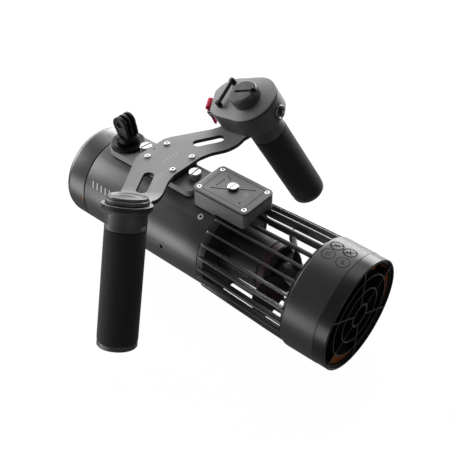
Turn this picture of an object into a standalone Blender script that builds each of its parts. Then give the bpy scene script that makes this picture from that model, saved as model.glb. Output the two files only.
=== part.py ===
"""Underwater scooter: a tube hull with a caged, ducted propeller, a V bracket and two splayed grips.

Lengths are in millimetres and become metres through MM. The hull frame has its origin where the
propulsion axis meets the outlet, +Y towards the nose, +X to the rider's right and +Z up.
"""

import math

import bmesh
import bpy
from mathutils import Matrix, Vector

MM = 0.001
GAP = 0.3             # clearance between pieces that touch
ROUND = 48            # sides of the large turned pieces
SMALL = 20            # sides of the small turned pieces
TINY = 12             # sides of fasteners

# Hull, measured along the axis from the outlet
LENGTH = 339.2
TUBE_R = 50.0
TUBE_WALL = 3.5
NOSE_SEAM = 309.8
CAGE_FRONT = 152.0
CAGE_REAR = 47.3
NOZZLE_R = 56.5
OUTLET_R = 55.8
DUCT_R = 51.9
SLATS = 24
SLAT_T = 2.0
SLAT_TURN = 2.4       # degrees from straight up to the first slat
POD_R = 26.5
POD_REAR = 98.6
SHAFT_R = 4.0
PROP_R = 47.0
PROP_MID = 76.0
HUB_R = 12.0
BLADES = 3
BLADE_TURN = 40.0     # bearing of the first blade at its root, and how far it sweeps and rakes to its tip
BLADE_SKEW = -35.0
BLADE_RAKE = 8.0
PITCH = 150.0

# Deck: rail, bracket and control box
RAIL_W = 38.0
RAIL_TOP = 55.5
RAIL_NOSE = 288.2
RAIL_TAIL = 186.0
PLATE_TOP = 66.7
PLATE_T = 4.0
PLATE_MID = 229.2
BOLT_DX, BOLT_DY = 27.4, 34.1
THUMB_R = 6.2
BOX_HALF = 21.7
BOX_REAR, BOX_FRONT = 116.0, 180.2
BOX_TOP = 68.1
LID_T = 2.2
LID_DX, LID_DY = 33.4, 53.6
BOX_MID = 148.2

# Grips: each axis passes through GRIP_AT and leans out and back going down
GRIP_AT = Vector((103.8, 185.1, 60.0))
GRIP_DOWN = Vector((0.4316, -0.2343, -0.8711)).normalized()
GRIP_R = 18.9
ARM_TOP = 28.5        # heights along the grip axis, upwards from GRIP_AT
FOAM_TOP = 5.7
FOAM_END = -97.5
ARM_END_R = 22.7
BEND_R = 55.0
STEM_R = 8.0
CORE_R = 14.9

# Control head on the right grip, in the grip's frame: X outboard, Y forward, Z up the axis
HEAD_REAR = (1.0, -2.5, 28.2)     # centre and radius of the two circles that its outline wraps
HEAD_FRONT = (-3.0, 21.5, 25.0)
HEAD_TOP = 54.0
HEAD_WALL = 2.5
DIAL_R = 14.8
TRIGGER_TURN = 117.0              # bearing of the trigger round the front circle, in degrees
TRIGGER_FLAT = 21.7               # distance of the flat face behind the trigger from that circle's centre
TRIGGER_PIN = (27.5, 44.5)        # radius and height of its pin
BUTTON_TURN = -80.0               # bearing of the thumb button round the rear circle
BUTTON_H = 37.0


def clear_scene():
    for obj in list(bpy.data.objects):
        bpy.data.objects.remove(obj, do_unlink=True)


def new_collection(name):
    made = bpy.data.collections.new(name)
    bpy.context.scene.collection.children.link(made)
    return made


def material(name, colour, roughness, metallic=0.0):
    """A Principled BSDF material."""
    made = bpy.data.materials.new(name)
    made.use_nodes = True
    shader = made.node_tree.nodes["Principled BSDF"]
    shader.inputs["Base Color"].default_value = (*colour, 1.0)
    shader.inputs["Roughness"].default_value = roughness
    shader.inputs["Metallic"].default_value = metallic
    return made


clear_scene()
PARTS = new_collection("underwater_scooter")
CUTTERS = new_collection("cutters")

ANODISED = ("anodised", (0.10, 0.10, 0.105), 0.42, 0.75)
PLATE_GREY = ("plate", (0.19, 0.19, 0.20), 0.38, 0.8)
BLACK = ("black_plastic", (0.02, 0.02, 0.022), 0.45, 0.0)
RUBBER = ("rubber", (0.012, 0.012, 0.012), 0.8, 0.0)
FOAM = ("foam", (0.035, 0.035, 0.037), 0.95, 0.0)
STEEL = ("steel", (0.62, 0.62, 0.64), 0.25, 1.0)
ORANGE = ("orange", (0.75, 0.22, 0.03), 0.45, 0.0)
RED = ("red", (0.55, 0.02, 0.07), 0.4, 0.0)
DARK_RED = ("dark_red", (0.12, 0.02, 0.03), 0.5, 0.0)
GREEN = ("board", (0.03, 0.16, 0.07), 0.6, 0.0)
COPPER = ("copper", (0.55, 0.26, 0.12), 0.4, 0.9)
BLUE = ("cell", (0.05, 0.09, 0.22), 0.6, 0.0)


# ---------------------------------------------------------------- helpers

def empty(name, matrix, parent=None):
    made = bpy.data.objects.new(name, None)
    PARTS.objects.link(made)
    made.parent = parent
    made.matrix_local = matrix
    return made


def place(mesh, name, parent, look=None, at=(0, 0, 0), turn=None):
    """Put a mesh in the scene under a parent: a node with its own material, or a hidden cutter."""
    obj = bpy.data.objects.new(name, mesh)
    (PARTS if look else CUTTERS).objects.link(obj)
    obj.parent = parent
    spot = Matrix.Translation(Vector(at) * MM)
    obj.matrix_local = spot @ turn if turn else spot
    if look:
        mesh.materials.clear()
        mesh.materials.append(material(name, *look[1:]))
    else:
        obj.hide_render = True
        obj.display_type = "WIRE"
    return obj


def turned(name, profile, parent, look=None, at=(0, 0, 0), turn=None, sides=ROUND, ring=False):
    """A solid turned about local Z. The profile is (radius, height) pairs running down its outer side;
    a ring's profile goes on up its bore and closes."""
    points = [(r * MM, 0.0, h * MM) for r, h in profile]
    edges = [(i, i + 1) for i in range(len(points) - 1)]
    if ring:
        edges.append((len(points) - 1, 0))
    mesh = bpy.data.meshes.new(name)
    mesh.from_pydata(points, edges, [])
    obj = place(mesh, name, parent, look, at, turn)
    screw = obj.modifiers.new("turn", "SCREW")
    screw.steps = screw.render_steps = sides
    screw.use_merge_vertices = True
    screw.merge_threshold = 0.00001
    screw.use_smooth_shade = False
    return obj


def tube_profile(outer, bore, low, high):
    return [(outer, high), (outer, low), (bore, low), (bore, high)]


def disc_profile(radius, low, high, edge=0.0):
    """A solid disc or rod, with its top edge chamfered by edge."""
    if edge:
        return [(0, high), (radius - edge, high), (radius, high - edge), (radius, low), (0, low)]
    return [(0, high), (radius, high), (radius, low), (0, low)]


def arc(x, y, radius, start, end, count):
    """Points along an arc, angles in degrees, both ends included."""
    step = (end - start) / (count - 1)
    angles = [math.radians(start + step * i) for i in range(count)]
    return [(x + radius * math.cos(a), y + radius * math.sin(a)) for a in angles]


def rounded_box(half_x, low_y, high_y, radius, count=5):
    corners = ((half_x, low_y, -1, 1, -90), (half_x, high_y, -1, -1, 0),
               (-half_x, high_y, 1, -1, 90), (-half_x, low_y, 1, 1, 180))
    outline = []
    for x, y, sx, sy, start in corners:
        outline += arc(x + sx * radius, y + sy * radius, radius, start, start + 90, count)
    return outline


def obround(a, b, radius, count=7):
    """The outline of a slot whose end centres are a and b."""
    lean = math.degrees(math.atan2(b[1] - a[1], b[0] - a[0]))
    return (arc(*b, radius, lean - 90, lean + 90, count)
            + arc(*a, radius, lean + 90, lean + 270, count))


def wrap(rear, front, count=17, inset=0.0):
    """The outline that wraps two circles, each (x, y, radius)."""
    (x1, y1, r1), (x2, y2, r2) = rear, front
    apart = math.hypot(x2 - x1, y2 - y1)
    lean = math.degrees(math.atan2(y2 - y1, x2 - x1))
    touch = math.degrees(math.acos((r1 - r2) / apart))
    return (arc(x2, y2, r2 - inset, lean - touch, lean + touch, count)
            + arc(x1, y1, r1 - inset, lean + touch, lean - touch + 360, count))


def head_outline(inset=0.0):
    """The head's outline: two wrapped circles, clipped flat behind the trigger."""
    turn = math.radians(TRIGGER_TURN)
    nx, ny = math.cos(turn), math.sin(turn)
    limit = HEAD_FRONT[0] * nx + HEAD_FRONT[1] * ny + TRIGGER_FLAT - inset
    points = wrap(HEAD_REAR, HEAD_FRONT, inset=inset)
    kept = []
    for (x1, y1), (x2, y2) in zip(points, points[1:] + points[:1]):
        a, b = x1 * nx + y1 * ny - limit, x2 * nx + y2 * ny - limit
        if a <= 0:
            kept.append((x1, y1))
        if (a < 0 < b) or (b < 0 < a):
            t = a / (a - b)
            kept.append((x1 + (x2 - x1) * t, y1 + (y2 - y1) * t))
    return kept


def slab_mesh(name, outlines, low, high):
    """A flat piece: the first outline filled, less the others, from low to high along Z."""
    curve = bpy.data.curves.new(name, "CURVE")
    curve.dimensions = "2D"
    curve.fill_mode = "BOTH"
    curve.extrude = (high - low) / 2 * MM
    for outline in outlines:
        spline = curve.splines.new("POLY")
        spline.points.add(len(outline) - 1)
        for point, (x, y) in zip(spline.points, outline):
            point.co = (x * MM, y * MM, 0, 1)
        spline.use_cyclic_u = True
    flat = bpy.data.objects.new(name, curve)
    PARTS.objects.link(flat)
    graph = bpy.context.evaluated_depsgraph_get()
    mesh = bpy.data.meshes.new_from_object(flat.evaluated_get(graph))
    bpy.data.objects.remove(flat)
    bpy.data.curves.remove(curve)
    shape = bmesh.new()
    shape.from_mesh(mesh)
    bmesh.ops.remove_doubles(shape, verts=shape.verts, dist=1e-7)
    bmesh.ops.translate(shape, verts=shape.verts, vec=(0, 0, (low + high) / 2 * MM))
    bmesh.ops.recalc_face_normals(shape, faces=shape.faces)
    shape.to_mesh(mesh)
    shape.free()
    return mesh


def slab(name, outlines, low, high, parent, look=None, at=(0, 0, 0), turn=None):
    return place(slab_mesh(name, outlines, low, high), name, parent, look, at, turn)


def blocks(name, boxes, parent, look=None, at=(0, 0, 0), turn=None):
    """One mesh of boxes, each (low corner, high corner, its own turn or None)."""
    shape = bmesh.new()
    for low, high, own in boxes:
        low, high = Vector(low) * MM, Vector(high) * MM
        fit = Matrix.Translation((low + high) / 2) @ Matrix.Diagonal((*(high - low), 1))
        bmesh.ops.create_cube(shape, size=1, matrix=own @ fit if own else fit)
    mesh = bpy.data.meshes.new(name)
    shape.to_mesh(mesh)
    shape.free()
    return place(mesh, name, parent, look, at, turn)


def cut(obj, tool, operation="DIFFERENCE"):
    modifier = obj.modifiers.new(operation.lower(), "BOOLEAN")
    modifier.operation = operation
    modifier.solver = "EXACT"
    modifier.object = tool
    return obj


def join(obj, tool):
    return cut(obj, tool, "UNION")


def along(direction, up=(0, 0, 1)):
    """A turn whose Z points along a direction."""
    z = Vector(direction).normalized()
    x = Vector(up).cross(z)
    x = x.normalized() if x.length > 1e-6 else Vector((1, 0, 0))
    return Matrix((x, z.cross(x), z)).transposed().to_4x4()


def smooth_round():
    """Smooth shading with sharp edges kept."""
    for obj in PARTS.objects:
        if obj.type == "MESH":
            obj.data.shade_smooth()
            obj.data.set_sharp_from_angle(angle=math.radians(35))
            for modifier in obj.modifiers:
                if modifier.type == "SCREW":
                    modifier.use_smooth_shade = True


# ---------------------------------------------------------------- frames

HULL = empty("hull_frame", Matrix.Translation((0, -LENGTH / 2 * MM, NOZZLE_R * MM)))
FORWARD = along((0, 1, 0))        # turned pieces of the hull: local Z runs to the nose


def grip_frame(side):
    """An empty on a grip's axis: Z up the axis, Y forward, X outboard on the right (+1) side."""
    up = -Vector((side * GRIP_DOWN.x, GRIP_DOWN.y, GRIP_DOWN.z))
    front = (Vector((0, 1, 0)) - up * up.y).normalized()
    turn = Matrix((front.cross(up), front, up)).transposed().to_4x4()
    spot = Vector((side * GRIP_AT.x, GRIP_AT.y, GRIP_AT.z)) * MM
    name = "grip_frame_right" if side > 0 else "grip_frame_left"
    return empty(name, Matrix.Translation(spot) @ turn, HULL)


# ---------------------------------------------------------------- hull

def nose():
    cap = turned("nose_cap", [
        (0, LENGTH), (43.6, LENGTH), (46.8, 338.5), (48.9, 336.3), (TUBE_R, 332.6),
        (TUBE_R, NOSE_SEAM + GAP), (46.0, NOSE_SEAM + GAP), (46.0, 305.3), (44.4, 305.3),
        (44.4, 301.7), (46.0, 301.7), (46.0, 296), (42.6, 296), (42.6, 330), (39, 334), (0, 334)],
        HULL, ANODISED, turn=FORWARD)
    turned("nose_o_ring", [(45.4, 305), (46.2, 303.5), (45.4, 302), (44.7, 303.5)],
           HULL, RUBBER, turn=FORWARD, ring=True)
    bearing = math.radians(178.2)
    out = Vector((math.cos(bearing), 0, math.sin(bearing)))
    spot = Vector((0, 314.4, 0)) + out * 48.4
    cut(cap, turned("mark_pocket", disc_profile(2.4, 0, 4), HULL, at=spot, turn=along(out), sides=TINY))
    turned("nose_mark", disc_profile(2.0, GAP, 1.5), HULL, ORANGE, at=spot, turn=along(out), sides=TINY)


def hull_tube():
    tube = turned("body_tube", tube_profile(TUBE_R, TUBE_R - TUBE_WALL, CAGE_FRONT + 0.2, NOSE_SEAM - 0.2),
                  HULL, ANODISED, turn=FORWARD, ring=True)
    bearing = math.radians(122.3)
    out = Vector((math.cos(bearing), 0, math.sin(bearing)))
    spot = Vector((0, 165.7, 0)) + out * TUBE_R
    hole = turned("side_screw_hole", [(0, 3), (3.5, 3), (3.5, -0.6), (2.2, -1.9), (2.2, -5), (0, -5)], HULL,
                  at=spot, turn=along(out), sides=TINY)
    cut(tube, hole)
    turned("side_screw", [(0, -0.1), (3.0, -0.1), (3.0, -0.5), (1.8, -1.7), (1.8, -3.3), (0, -3.3)],
           HULL, STEEL, at=spot, turn=along(out), sides=TINY)
    vent = turned("vent_hole", disc_profile(2.2, -3, 6), HULL, at=(-TUBE_R, 198, 1),
                  turn=along((1, 0, 0)), sides=12)
    cut(tube, vent)


def bulkhead_and_pod():
    """The bulkhead closes the tube and carries the motor pod on its rear face."""
    inner = TUBE_R - TUBE_WALL - GAP
    turned("rear_bulkhead", [
        (41, 166), (inner, 166), (inner, 144.4), (10.5, 144.4), (10.5, 136), (8.4, 136), (8.4, 143),
        (4.6, 143), (4.6, 148), (41, 148)], HULL, ANODISED, turn=FORWARD, ring=True, sides=36)
    turned("motor_pod", [
        (POD_R, 144.1), (POD_R, 100.2), (25.4, POD_REAR), (8.4, POD_REAR), (8.4, 107.6), (10.6, 107.6),
        (10.6, 101.8), (24.0, 101.8), (24.0, 144.1)], HULL, ANODISED, turn=FORWARD, ring=True, sides=36)
    turned("motor_stator", tube_profile(23.7, 13.0, 111, 131), HULL, COPPER, turn=FORWARD, ring=True, sides=36)
    turned("motor_rotor", tube_profile(12.4, SHAFT_R + GAP, 109.5, 132.5), HULL, STEEL, turn=FORWARD, ring=True,
           sides=36)
    turned("drive_shaft", disc_profile(SHAFT_R, 58.5, 141.8), HULL, STEEL, turn=FORWARD, sides=SMALL)
    bore = SHAFT_R + 0.1
    for name, low in (("rear_bearing", 102.0), ("front_bearing", 136.3)):
        turned(name, tube_profile(8.1, bore, low, low + 5.4), HULL, STEEL, turn=FORWARD, ring=True, sides=SMALL)
    turned("shaft_seal", tube_profile(8.1, bore, POD_REAR + 0.3, 101.7), HULL, RUBBER, turn=FORWARD, ring=True,
           sides=SMALL)


def blade_section(radius, chord, thick):
    """Six points of a lens across a blade at one radius, pitched about the radial axis."""
    pitch = math.atan2(PITCH, 2 * math.pi * radius)
    flat = [(-0.5, 0), (-0.25, 0.42), (0.2, 0.5), (0.5, 0), (0.2, -0.5), (-0.25, -0.42)]
    points = []
    for u, w in flat:
        x, y = u * chord, w * thick
        points.append(((x * math.cos(pitch) - y * math.sin(pitch)) * MM,
                       (PROP_MID + x * math.sin(pitch) + y * math.cos(pitch)) * MM, radius * MM))
    return points


def blade_set():
    """The blades as closed lofts that start inside the hub."""
    shape = bmesh.new()
    stations = [(10, 15, 4.2), (18, 21, 3.8), (26, 26, 3.2), (33, 29, 2.6), (40, 28, 2.1), (45, 21, 1.7),
                (PROP_R, 10, 1.4)]
    for k in range(BLADES):
        rings = []
        for radius, chord, thick in stations:
            out = max(radius - HUB_R, 0) / (PROP_R - HUB_R)
            turn = (Matrix.Translation((0, BLADE_RAKE * out * MM, 0))
                    @ Matrix.Rotation(math.tau * k / BLADES + math.radians(BLADE_TURN + BLADE_SKEW * out), 4, "Y"))
            rings.append([shape.verts.new(turn @ Vector(p)) for p in blade_section(radius, chord, thick)])
        for a, b in zip(rings, rings[1:]):
            for i in range(6):
                j = (i + 1) % 6
                shape.faces.new((a[i], a[j], b[j], b[i]))
        shape.faces.new(rings[0][::-1])
        shape.faces.new(rings[-1])
    bmesh.ops.recalc_face_normals(shape, faces=shape.faces)
    bmesh.ops.triangulate(shape, faces=shape.faces)
    mesh = bpy.data.meshes.new("blade_set")
    shape.to_mesh(mesh)
    shape.free()
    return mesh


def propeller():
    prop = turned("propeller", [
        (26.0, 90.8), (21.5, 87.4), (12.2, 87.2), (HUB_R, 67), (SHAFT_R + GAP, 67), (SHAFT_R + GAP, 90.8)],
        HULL, BLACK, turn=FORWARD, ring=True, sides=36)
    join(prop, place(blade_set(), "blade_tool", HULL))
    turned("hub_ring", [(26.3, 98.2), (26.3, 91.6), (25.9, 91.2), (12, 91.2), (12, 98.2)],
           HULL, DARK_RED, turn=FORWARD, ring=True, sides=36)
    turned("tail_cone", [
        (11.8, 66.7), (11.4, 62), (9, 58), (5, 55.4), (0, 54.6), (0, 58.2), (SHAFT_R + GAP, 58.2),
        (SHAFT_R + GAP, 66.7)], HULL, ANODISED, turn=FORWARD, ring=True, sides=36)


def slat_set():
    """Thin lengthwise fins round the cage; each tapers outwards towards the nozzle and has a rounded front tip."""
    outline = [(CAGE_REAR + GAP, 49.4), (CAGE_REAR + GAP, 55.3), (68, 54.9), (144, 52.2), (149.5, 51.7),
               (151.4, 50.6), (151.4, 49.0), (144, 48.4), (140, 46.4), (68, 49.0)]
    shape = bmesh.new()
    for k in range(SLATS):
        turn = Matrix.Rotation(2 * math.pi * k / SLATS + math.radians(SLAT_TURN), 4, "Y")
        sides = []
        for x in (-SLAT_T / 2, SLAT_T / 2):
            sides.append([shape.verts.new(turn @ (Vector((x, y, r)) * MM)) for y, r in outline])
        left, right = sides
        count = len(outline)
        for i in range(count):
            j = (i + 1) % count
            shape.faces.new((left[i], left[j], right[j], right[i]))
        shape.faces.new(left[::-1])
        shape.faces.new(right)
    bmesh.ops.recalc_face_normals(shape, faces=shape.faces)
    mesh = bpy.data.meshes.new("slat_set")
    shape.to_mesh(mesh)
    shape.free()
    return mesh


def cage_and_nozzle():
    cage = turned("guard_cage", tube_profile(TUBE_R, TUBE_R - TUBE_WALL, 143.8, CAGE_FRONT - 0.1), HULL, ANODISED,
                  turn=FORWARD, ring=True)
    join(cage, place(slat_set(), "slat_tool", HULL))
    join(cage, turned("cage_ring_tool", tube_profile(53.0, 49.9, 42.8, 50), HULL, turn=FORWARD, ring=True))
    turned("nozzle_ring", [
        (54.6, CAGE_REAR), (55.9, 46.6), (NOZZLE_R, 45), (56.1, 12.5), (OUTLET_R, 11.6), (OUTLET_R, 0.5),
        (55.3, 0), (54.1, 0), (53.9, 0.3), (53.9, 2.3), (DUCT_R, 2.3), (DUCT_R, 42.4), (53.4, 42.4),
        (53.4, CAGE_REAR)], HULL, ANODISED, turn=FORWARD, ring=True)
    turned("duct_liner", tube_profile(DUCT_R - GAP, 50.0, 2.9, 42.2), HULL, ORANGE, turn=FORWARD, ring=True)


def grille():
    """Hub, two rings and six spokes, all deep plates; the spokes' tips rest on the nozzle's inner shoulder."""
    base = turned("outlet_grille", tube_profile(28.1, 26.9, 0.6, 12), HULL, ANODISED, turn=FORWARD, ring=True,
        sides=36)
    for i, (outer, inner, low, high) in enumerate(((41.6, 40.4, 0.6, 12), (12.3, 10.2, 0.5, 14))):
        join(base, turned(f"grille_ring_{i}", tube_profile(outer, inner, low, high), HULL, turn=FORWARD,
            ring=True, sides=36))
    plates, tips = [], []
    for k in range(6):
        bearing = Matrix.Rotation(math.pi * k / 3, 4, "Y")
        plates.append(((-0.7, 0.7, 11.0), (0.7, 12.4, 49.6), bearing))
        tips.append(((-0.9, 0.8, 48.8), (0.9, 2.0, 53.5), bearing))
    join(base, blocks("grille_spokes", plates, HULL))
    join(base, blocks("grille_tips", tips, HULL))
    join(base, turned("grille_hub_floor", disc_profile(10.9, 9, 11), HULL, turn=FORWARD, sides=36))


def battery():
    turned("battery_pack", disc_profile(38, 186, 322, 2), HULL, BLUE, turn=FORWARD, sides=36)


# ---------------------------------------------------------------- deck

def hull_cutter(name, radius, low, high):
    return turned(name, disc_profile(radius, low, high), HULL, turn=FORWARD)


def rail():
    half = RAIL_W / 2
    outline = (arc(0, RAIL_NOSE, half, 0, 180, 17) + arc(-half + 6, RAIL_TAIL + 6, 6, 180, 270, 5)
               + arc(half - 6, RAIL_TAIL + 6, 6, 270, 360, 5))
    piece = slab("top_rail", [outline], 38, RAIL_TOP, HULL, ANODISED)
    cut(piece, hull_cutter("rail_saddle", TUBE_R + GAP, 170, 330))
    for end, y in (("front", 262.7), ("rear", 196.0)):
        hole = turned(f"thumb_hole_{end}", disc_profile(3.3, 51.6, 60), HULL, at=(0, y, 0), sides=TINY)
        cut(piece, hole)
        screw = turned(f"rail_screw_{end}", [
            (0, 65.3), (THUMB_R - 0.7, 65.3), (THUMB_R, 64.6), (THUMB_R, 59), (5.2, 58.2), (5.2, RAIL_TOP + GAP),
            (3, RAIL_TOP + GAP), (3, 52), (0, 52)], HULL, STEEL, at=(0, y, 0), sides=SMALL)
        cut(screw, blocks(f"thumb_slot_{end}", [((-8, -0.9, 63.6), (8, 0.9, 67), None)], HULL, at=(0, y, 0)))


def bolt_spots(dx, dy, mid):
    return [(sx * dx / 2, mid + sy * dy / 2) for sx in (-1, 1) for sy in (-1, 1)]


def bracket():
    block = slab("bracket_block", [rounded_box(18.5, 208.6, 250.4, 3, 3)], RAIL_TOP + GAP,
        PLATE_TOP - PLATE_T - GAP, HULL, BLACK)
    holes = [arc(x, y, 1.9, 0, 330, 12) for x, y in bolt_spots(BOLT_DX, BOLT_DY, PLATE_MID)]
    for i, (x, y) in enumerate(bolt_spots(BOLT_DX, BOLT_DY, PLATE_MID)):
        cut(block, turned(f"block_hole_{i}", disc_profile(1.9, 57.4, 70), HULL, at=(x, y, 0), sides=12))
        turned(f"bracket_bolt_{i + 1}", [
            (0, 68.3), (2.6, 68.3), (3.1, 67.8), (3.1, PLATE_TOP + GAP), (1.6, PLATE_TOP + GAP), (1.6, 57.8),
            (0, 57.8)], HULL, STEEL, at=(x, y, 0), sides=TINY)
    return holes


def arm_end():
    """The arm bends up to meet the grip squarely: its bend start, its two plan directions and the flat
    position of its end's centre."""
    up = -GRIP_DOWN
    tilt = math.acos(up.z)
    out = -Vector((up.x, up.y)) / math.sin(tilt)
    edge = Vector((-out.y, out.x))
    centre = GRIP_AT + up * (ARM_TOP - PLATE_T / 2)
    rise = centre.z - (PLATE_TOP - PLATE_T / 2)
    straight = (rise - BEND_R * (1 - math.cos(tilt))) / math.sin(tilt)
    reach = BEND_R * math.sin(tilt) + straight * math.cos(tilt)
    flat = Vector((centre.x, centre.y))
    start = flat.dot(out) - reach
    unfolded = out * (start + BEND_R * tilt + straight) + edge * flat.dot(edge)
    return tilt, out, edge, start, unfolded


def plate_outline(end):
    """The flat outline of the plate: a V with round ends, drawn on the right and mirrored."""
    front = [(17, 255), (24, 252.9), (30, 249.3)]
    rear = [(66, 188.6), (60, 189.4), (56.5, 190.2), (52.2, 191.9), (45.1, 194.9), (39.1, 198.1), (33, 201.5),
            (30.2, 202.8), (26, 204.0), (18, 206.0)]
    right = front + arc(end.x, end.y, ARM_END_R, 98.6, -162, 20) + rear
    return right + [(-x, y) for x, y in reversed(right)]


def bend_arm(shape, side, tilt, out, start):
    """Roll everything past the bend line up round a cylinder of BEND_R."""
    out = Vector((side * out.x, out.y, 0))
    middle = (PLATE_TOP - PLATE_T / 2) * MM
    first, radius = start * MM, BEND_R * MM
    for i in range(7):
        line = first + radius * tilt * i / 6
        bmesh.ops.bisect_plane(shape, geom=shape.verts[:] + shape.edges[:] + shape.faces[:], dist=1e-8,
                               plane_co=out * line, plane_no=out)
    bmesh.ops.triangulate(shape, faces=[f for f in shape.faces if f.calc_center_median().dot(out) > first])
    for vert in shape.verts:
        past = vert.co.dot(out) - first
        if past <= 1e-7:
            continue
        turn = min(past / radius, tilt)
        over = max(past - radius * tilt, 0)
        height = vert.co.z - middle
        along_out = (radius - height) * math.sin(turn) + over * math.cos(tilt) - past
        vert.co += out * along_out
        vert.co.z = middle + radius - (radius - height) * math.cos(turn) + over * math.sin(tilt)


def plate(bolt_holes):
    tilt, out, edge, start, end = arm_end()
    slots = []
    for side in (1, -1):
        slots.append(obround((side * 35.2, 223.7), (side * 55.0, 212.7), 5.5, 6))
        slots.append(arc(side * end.x, end.y, STEM_R + GAP, 0, 342, 20))
    slots.append(arc(0, 250.6, 0.9, 0, 315, 8))
    mesh = slab_mesh("bracket_plate", [plate_outline(end)] + slots + bolt_holes, PLATE_TOP - PLATE_T, PLATE_TOP)
    shape = bmesh.new()
    shape.from_mesh(mesh)
    bmesh.ops.dissolve_limit(shape, angle_limit=0.001, verts=shape.verts, edges=shape.edges)
    for side in (1, -1):
        bend_arm(shape, side, tilt, out, start)
    shape.to_mesh(mesh)
    shape.free()
    place(mesh, "bracket_plate", HULL, PLATE_GREY)


def arm_clearance():
    """The bent part of the right arm and a little more, which the head's underside clears."""
    tilt, out, edge, start, end = arm_end()
    corners = [end + out * a + edge * b for a, b in ((-12, -45), (-12, 45), (-60, 45), (-60, -45))]
    mesh = slab_mesh("arm_clearance", [[tuple(c) for c in corners]], PLATE_TOP - PLATE_T - 1, PLATE_TOP + 0.25)
    shape = bmesh.new()
    shape.from_mesh(mesh)
    bend_arm(shape, 1, tilt, out, start)
    shape.to_mesh(mesh)
    shape.free()
    return place(mesh, "arm_clearance", HULL)


def chamfered(half_x, low, high, cut_by):
    return [(half_x, low + cut_by), (half_x, high - cut_by), (half_x - cut_by, high), (-half_x + cut_by, high),
            (-half_x, high - cut_by), (-half_x, low + cut_by), (-half_x + cut_by, low), (half_x - cut_by, low)]


def control_box():
    top = BOX_TOP - LID_T - 2 * GAP - 0.6
    outline = rounded_box(BOX_HALF, BOX_REAR, BOX_FRONT, 5)
    box = slab("control_box", [outline], 36, top, HULL, ANODISED)
    cut(box, hull_cutter("box_saddle", TUBE_R + GAP, 140, 200))
    cut(box, hull_cutter("box_over_cage", 53.9, 100, CAGE_FRONT + 0.6))
    pocket = chamfered(BOX_HALF - 2.6, BOX_REAR + 2.6, BOX_FRONT - 2.6, 9.5)
    cut(box, slab("box_pocket", [pocket], 56, 80, HULL))
    slab("lid_gasket", [rounded_box(BOX_HALF - 0.5, BOX_REAR + 0.5, BOX_FRONT - 0.5, 4.5, 4),
                        chamfered(BOX_HALF - 2.6, BOX_REAR + 2.6, BOX_FRONT - 2.6, 9.5)]
         + [arc(x, y, 1.7, 0, 330, 12) for x, y in bolt_spots(LID_DX, LID_DY, BOX_MID)],
         top + GAP, top + GAP + 0.6, HULL, RUBBER)
    lid = slab("box_lid", [outline, arc(0, BOX_MID, 2.4, 0, 345, 16)], BOX_TOP - LID_T, BOX_TOP, HULL, ANODISED)
    for i, (x, y) in enumerate(bolt_spots(LID_DX, LID_DY, BOX_MID)):
        sink = turned(f"lid_hole_{i}", [(0, 70), (3.1, 70), (3.1, 67.4), (1.6, 66.1), (1.6, 60), (0, 60)], HULL,
                      at=(x, y, 0), sides=TINY)
        cut(lid, sink)
        cut(box, sink)
        turned(f"lid_screw_{i + 1}", [(0, 67.95), (2.7, 67.95), (2.7, 67.5), (1.3, 66.3), (1.3, 60.4), (0, 60.4)],
               HULL, STEEL, at=(x, y, 0), sides=TINY)
    board = blocks("controller_board", [((-16, 128, 57.2), (16, 168, 58.8), None)], HULL, GREEN)
    join(board, blocks("board_parts", [((-12, 130, 58.2), (-3, 139, 61.2), None),
        ((3, 152, 58.2), (13, 166, 60.6), None), ((-13, 153, 58.2), (-6, 164, 62), None)], HULL))
    knob = turned("power_knob", [
        (0, 72), (4.9, 72), (5.4, 71.5), (5.4, 68.9), (4.9, BOX_TOP + GAP), (2.1, BOX_TOP + GAP), (2.1, 60),
        (0, 60)], HULL, STEEL, at=(0, BOX_MID, 0), sides=SMALL)
    cut(knob, blocks("knob_slot", [((-7, -0.5, 71.4), (7, 0.5, 73), None)], HULL, at=(0, BOX_MID, 0)))


def camera_mount():
    """A round base on the rail's nose and a three-prong head that swivels on it."""
    at = (0, RAIL_NOSE, 0)
    turned("mount_base", [
        (0, 60), (16.9, 60), (17.9, 59), (17.9, RAIL_TOP + GAP), (0, RAIL_TOP + GAP)], HULL, BLACK, at=at,
        sides=36)
    head = turned("mount_prongs", disc_profile(11.5, 60.3, 68.5, 0.8), HULL, BLACK, at=at, sides=30)
    side = [(-8.2, 66), (-7.6, 72), (-6, 79.5)] + arc(3, 80.3, 8.6, 186, -8, 13) + [(9.6, 74.1), (6.6, 69.4),
        (6.3, 66)]
    bore = arc(3.3, 80.1, 2.6, 0, 330, 12)
    upright = Matrix.Rotation(math.pi / 2, 4, "Z") @ Matrix.Rotation(math.pi / 2, 4, "X")
    for i, x in enumerate((-6.2, 0, 6.2)):
        join(head, slab(f"prong_tool_{i}", [side, bore], x - 1.55, x + 1.55, HULL, at=at, turn=upright))


# ---------------------------------------------------------------- grips

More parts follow.
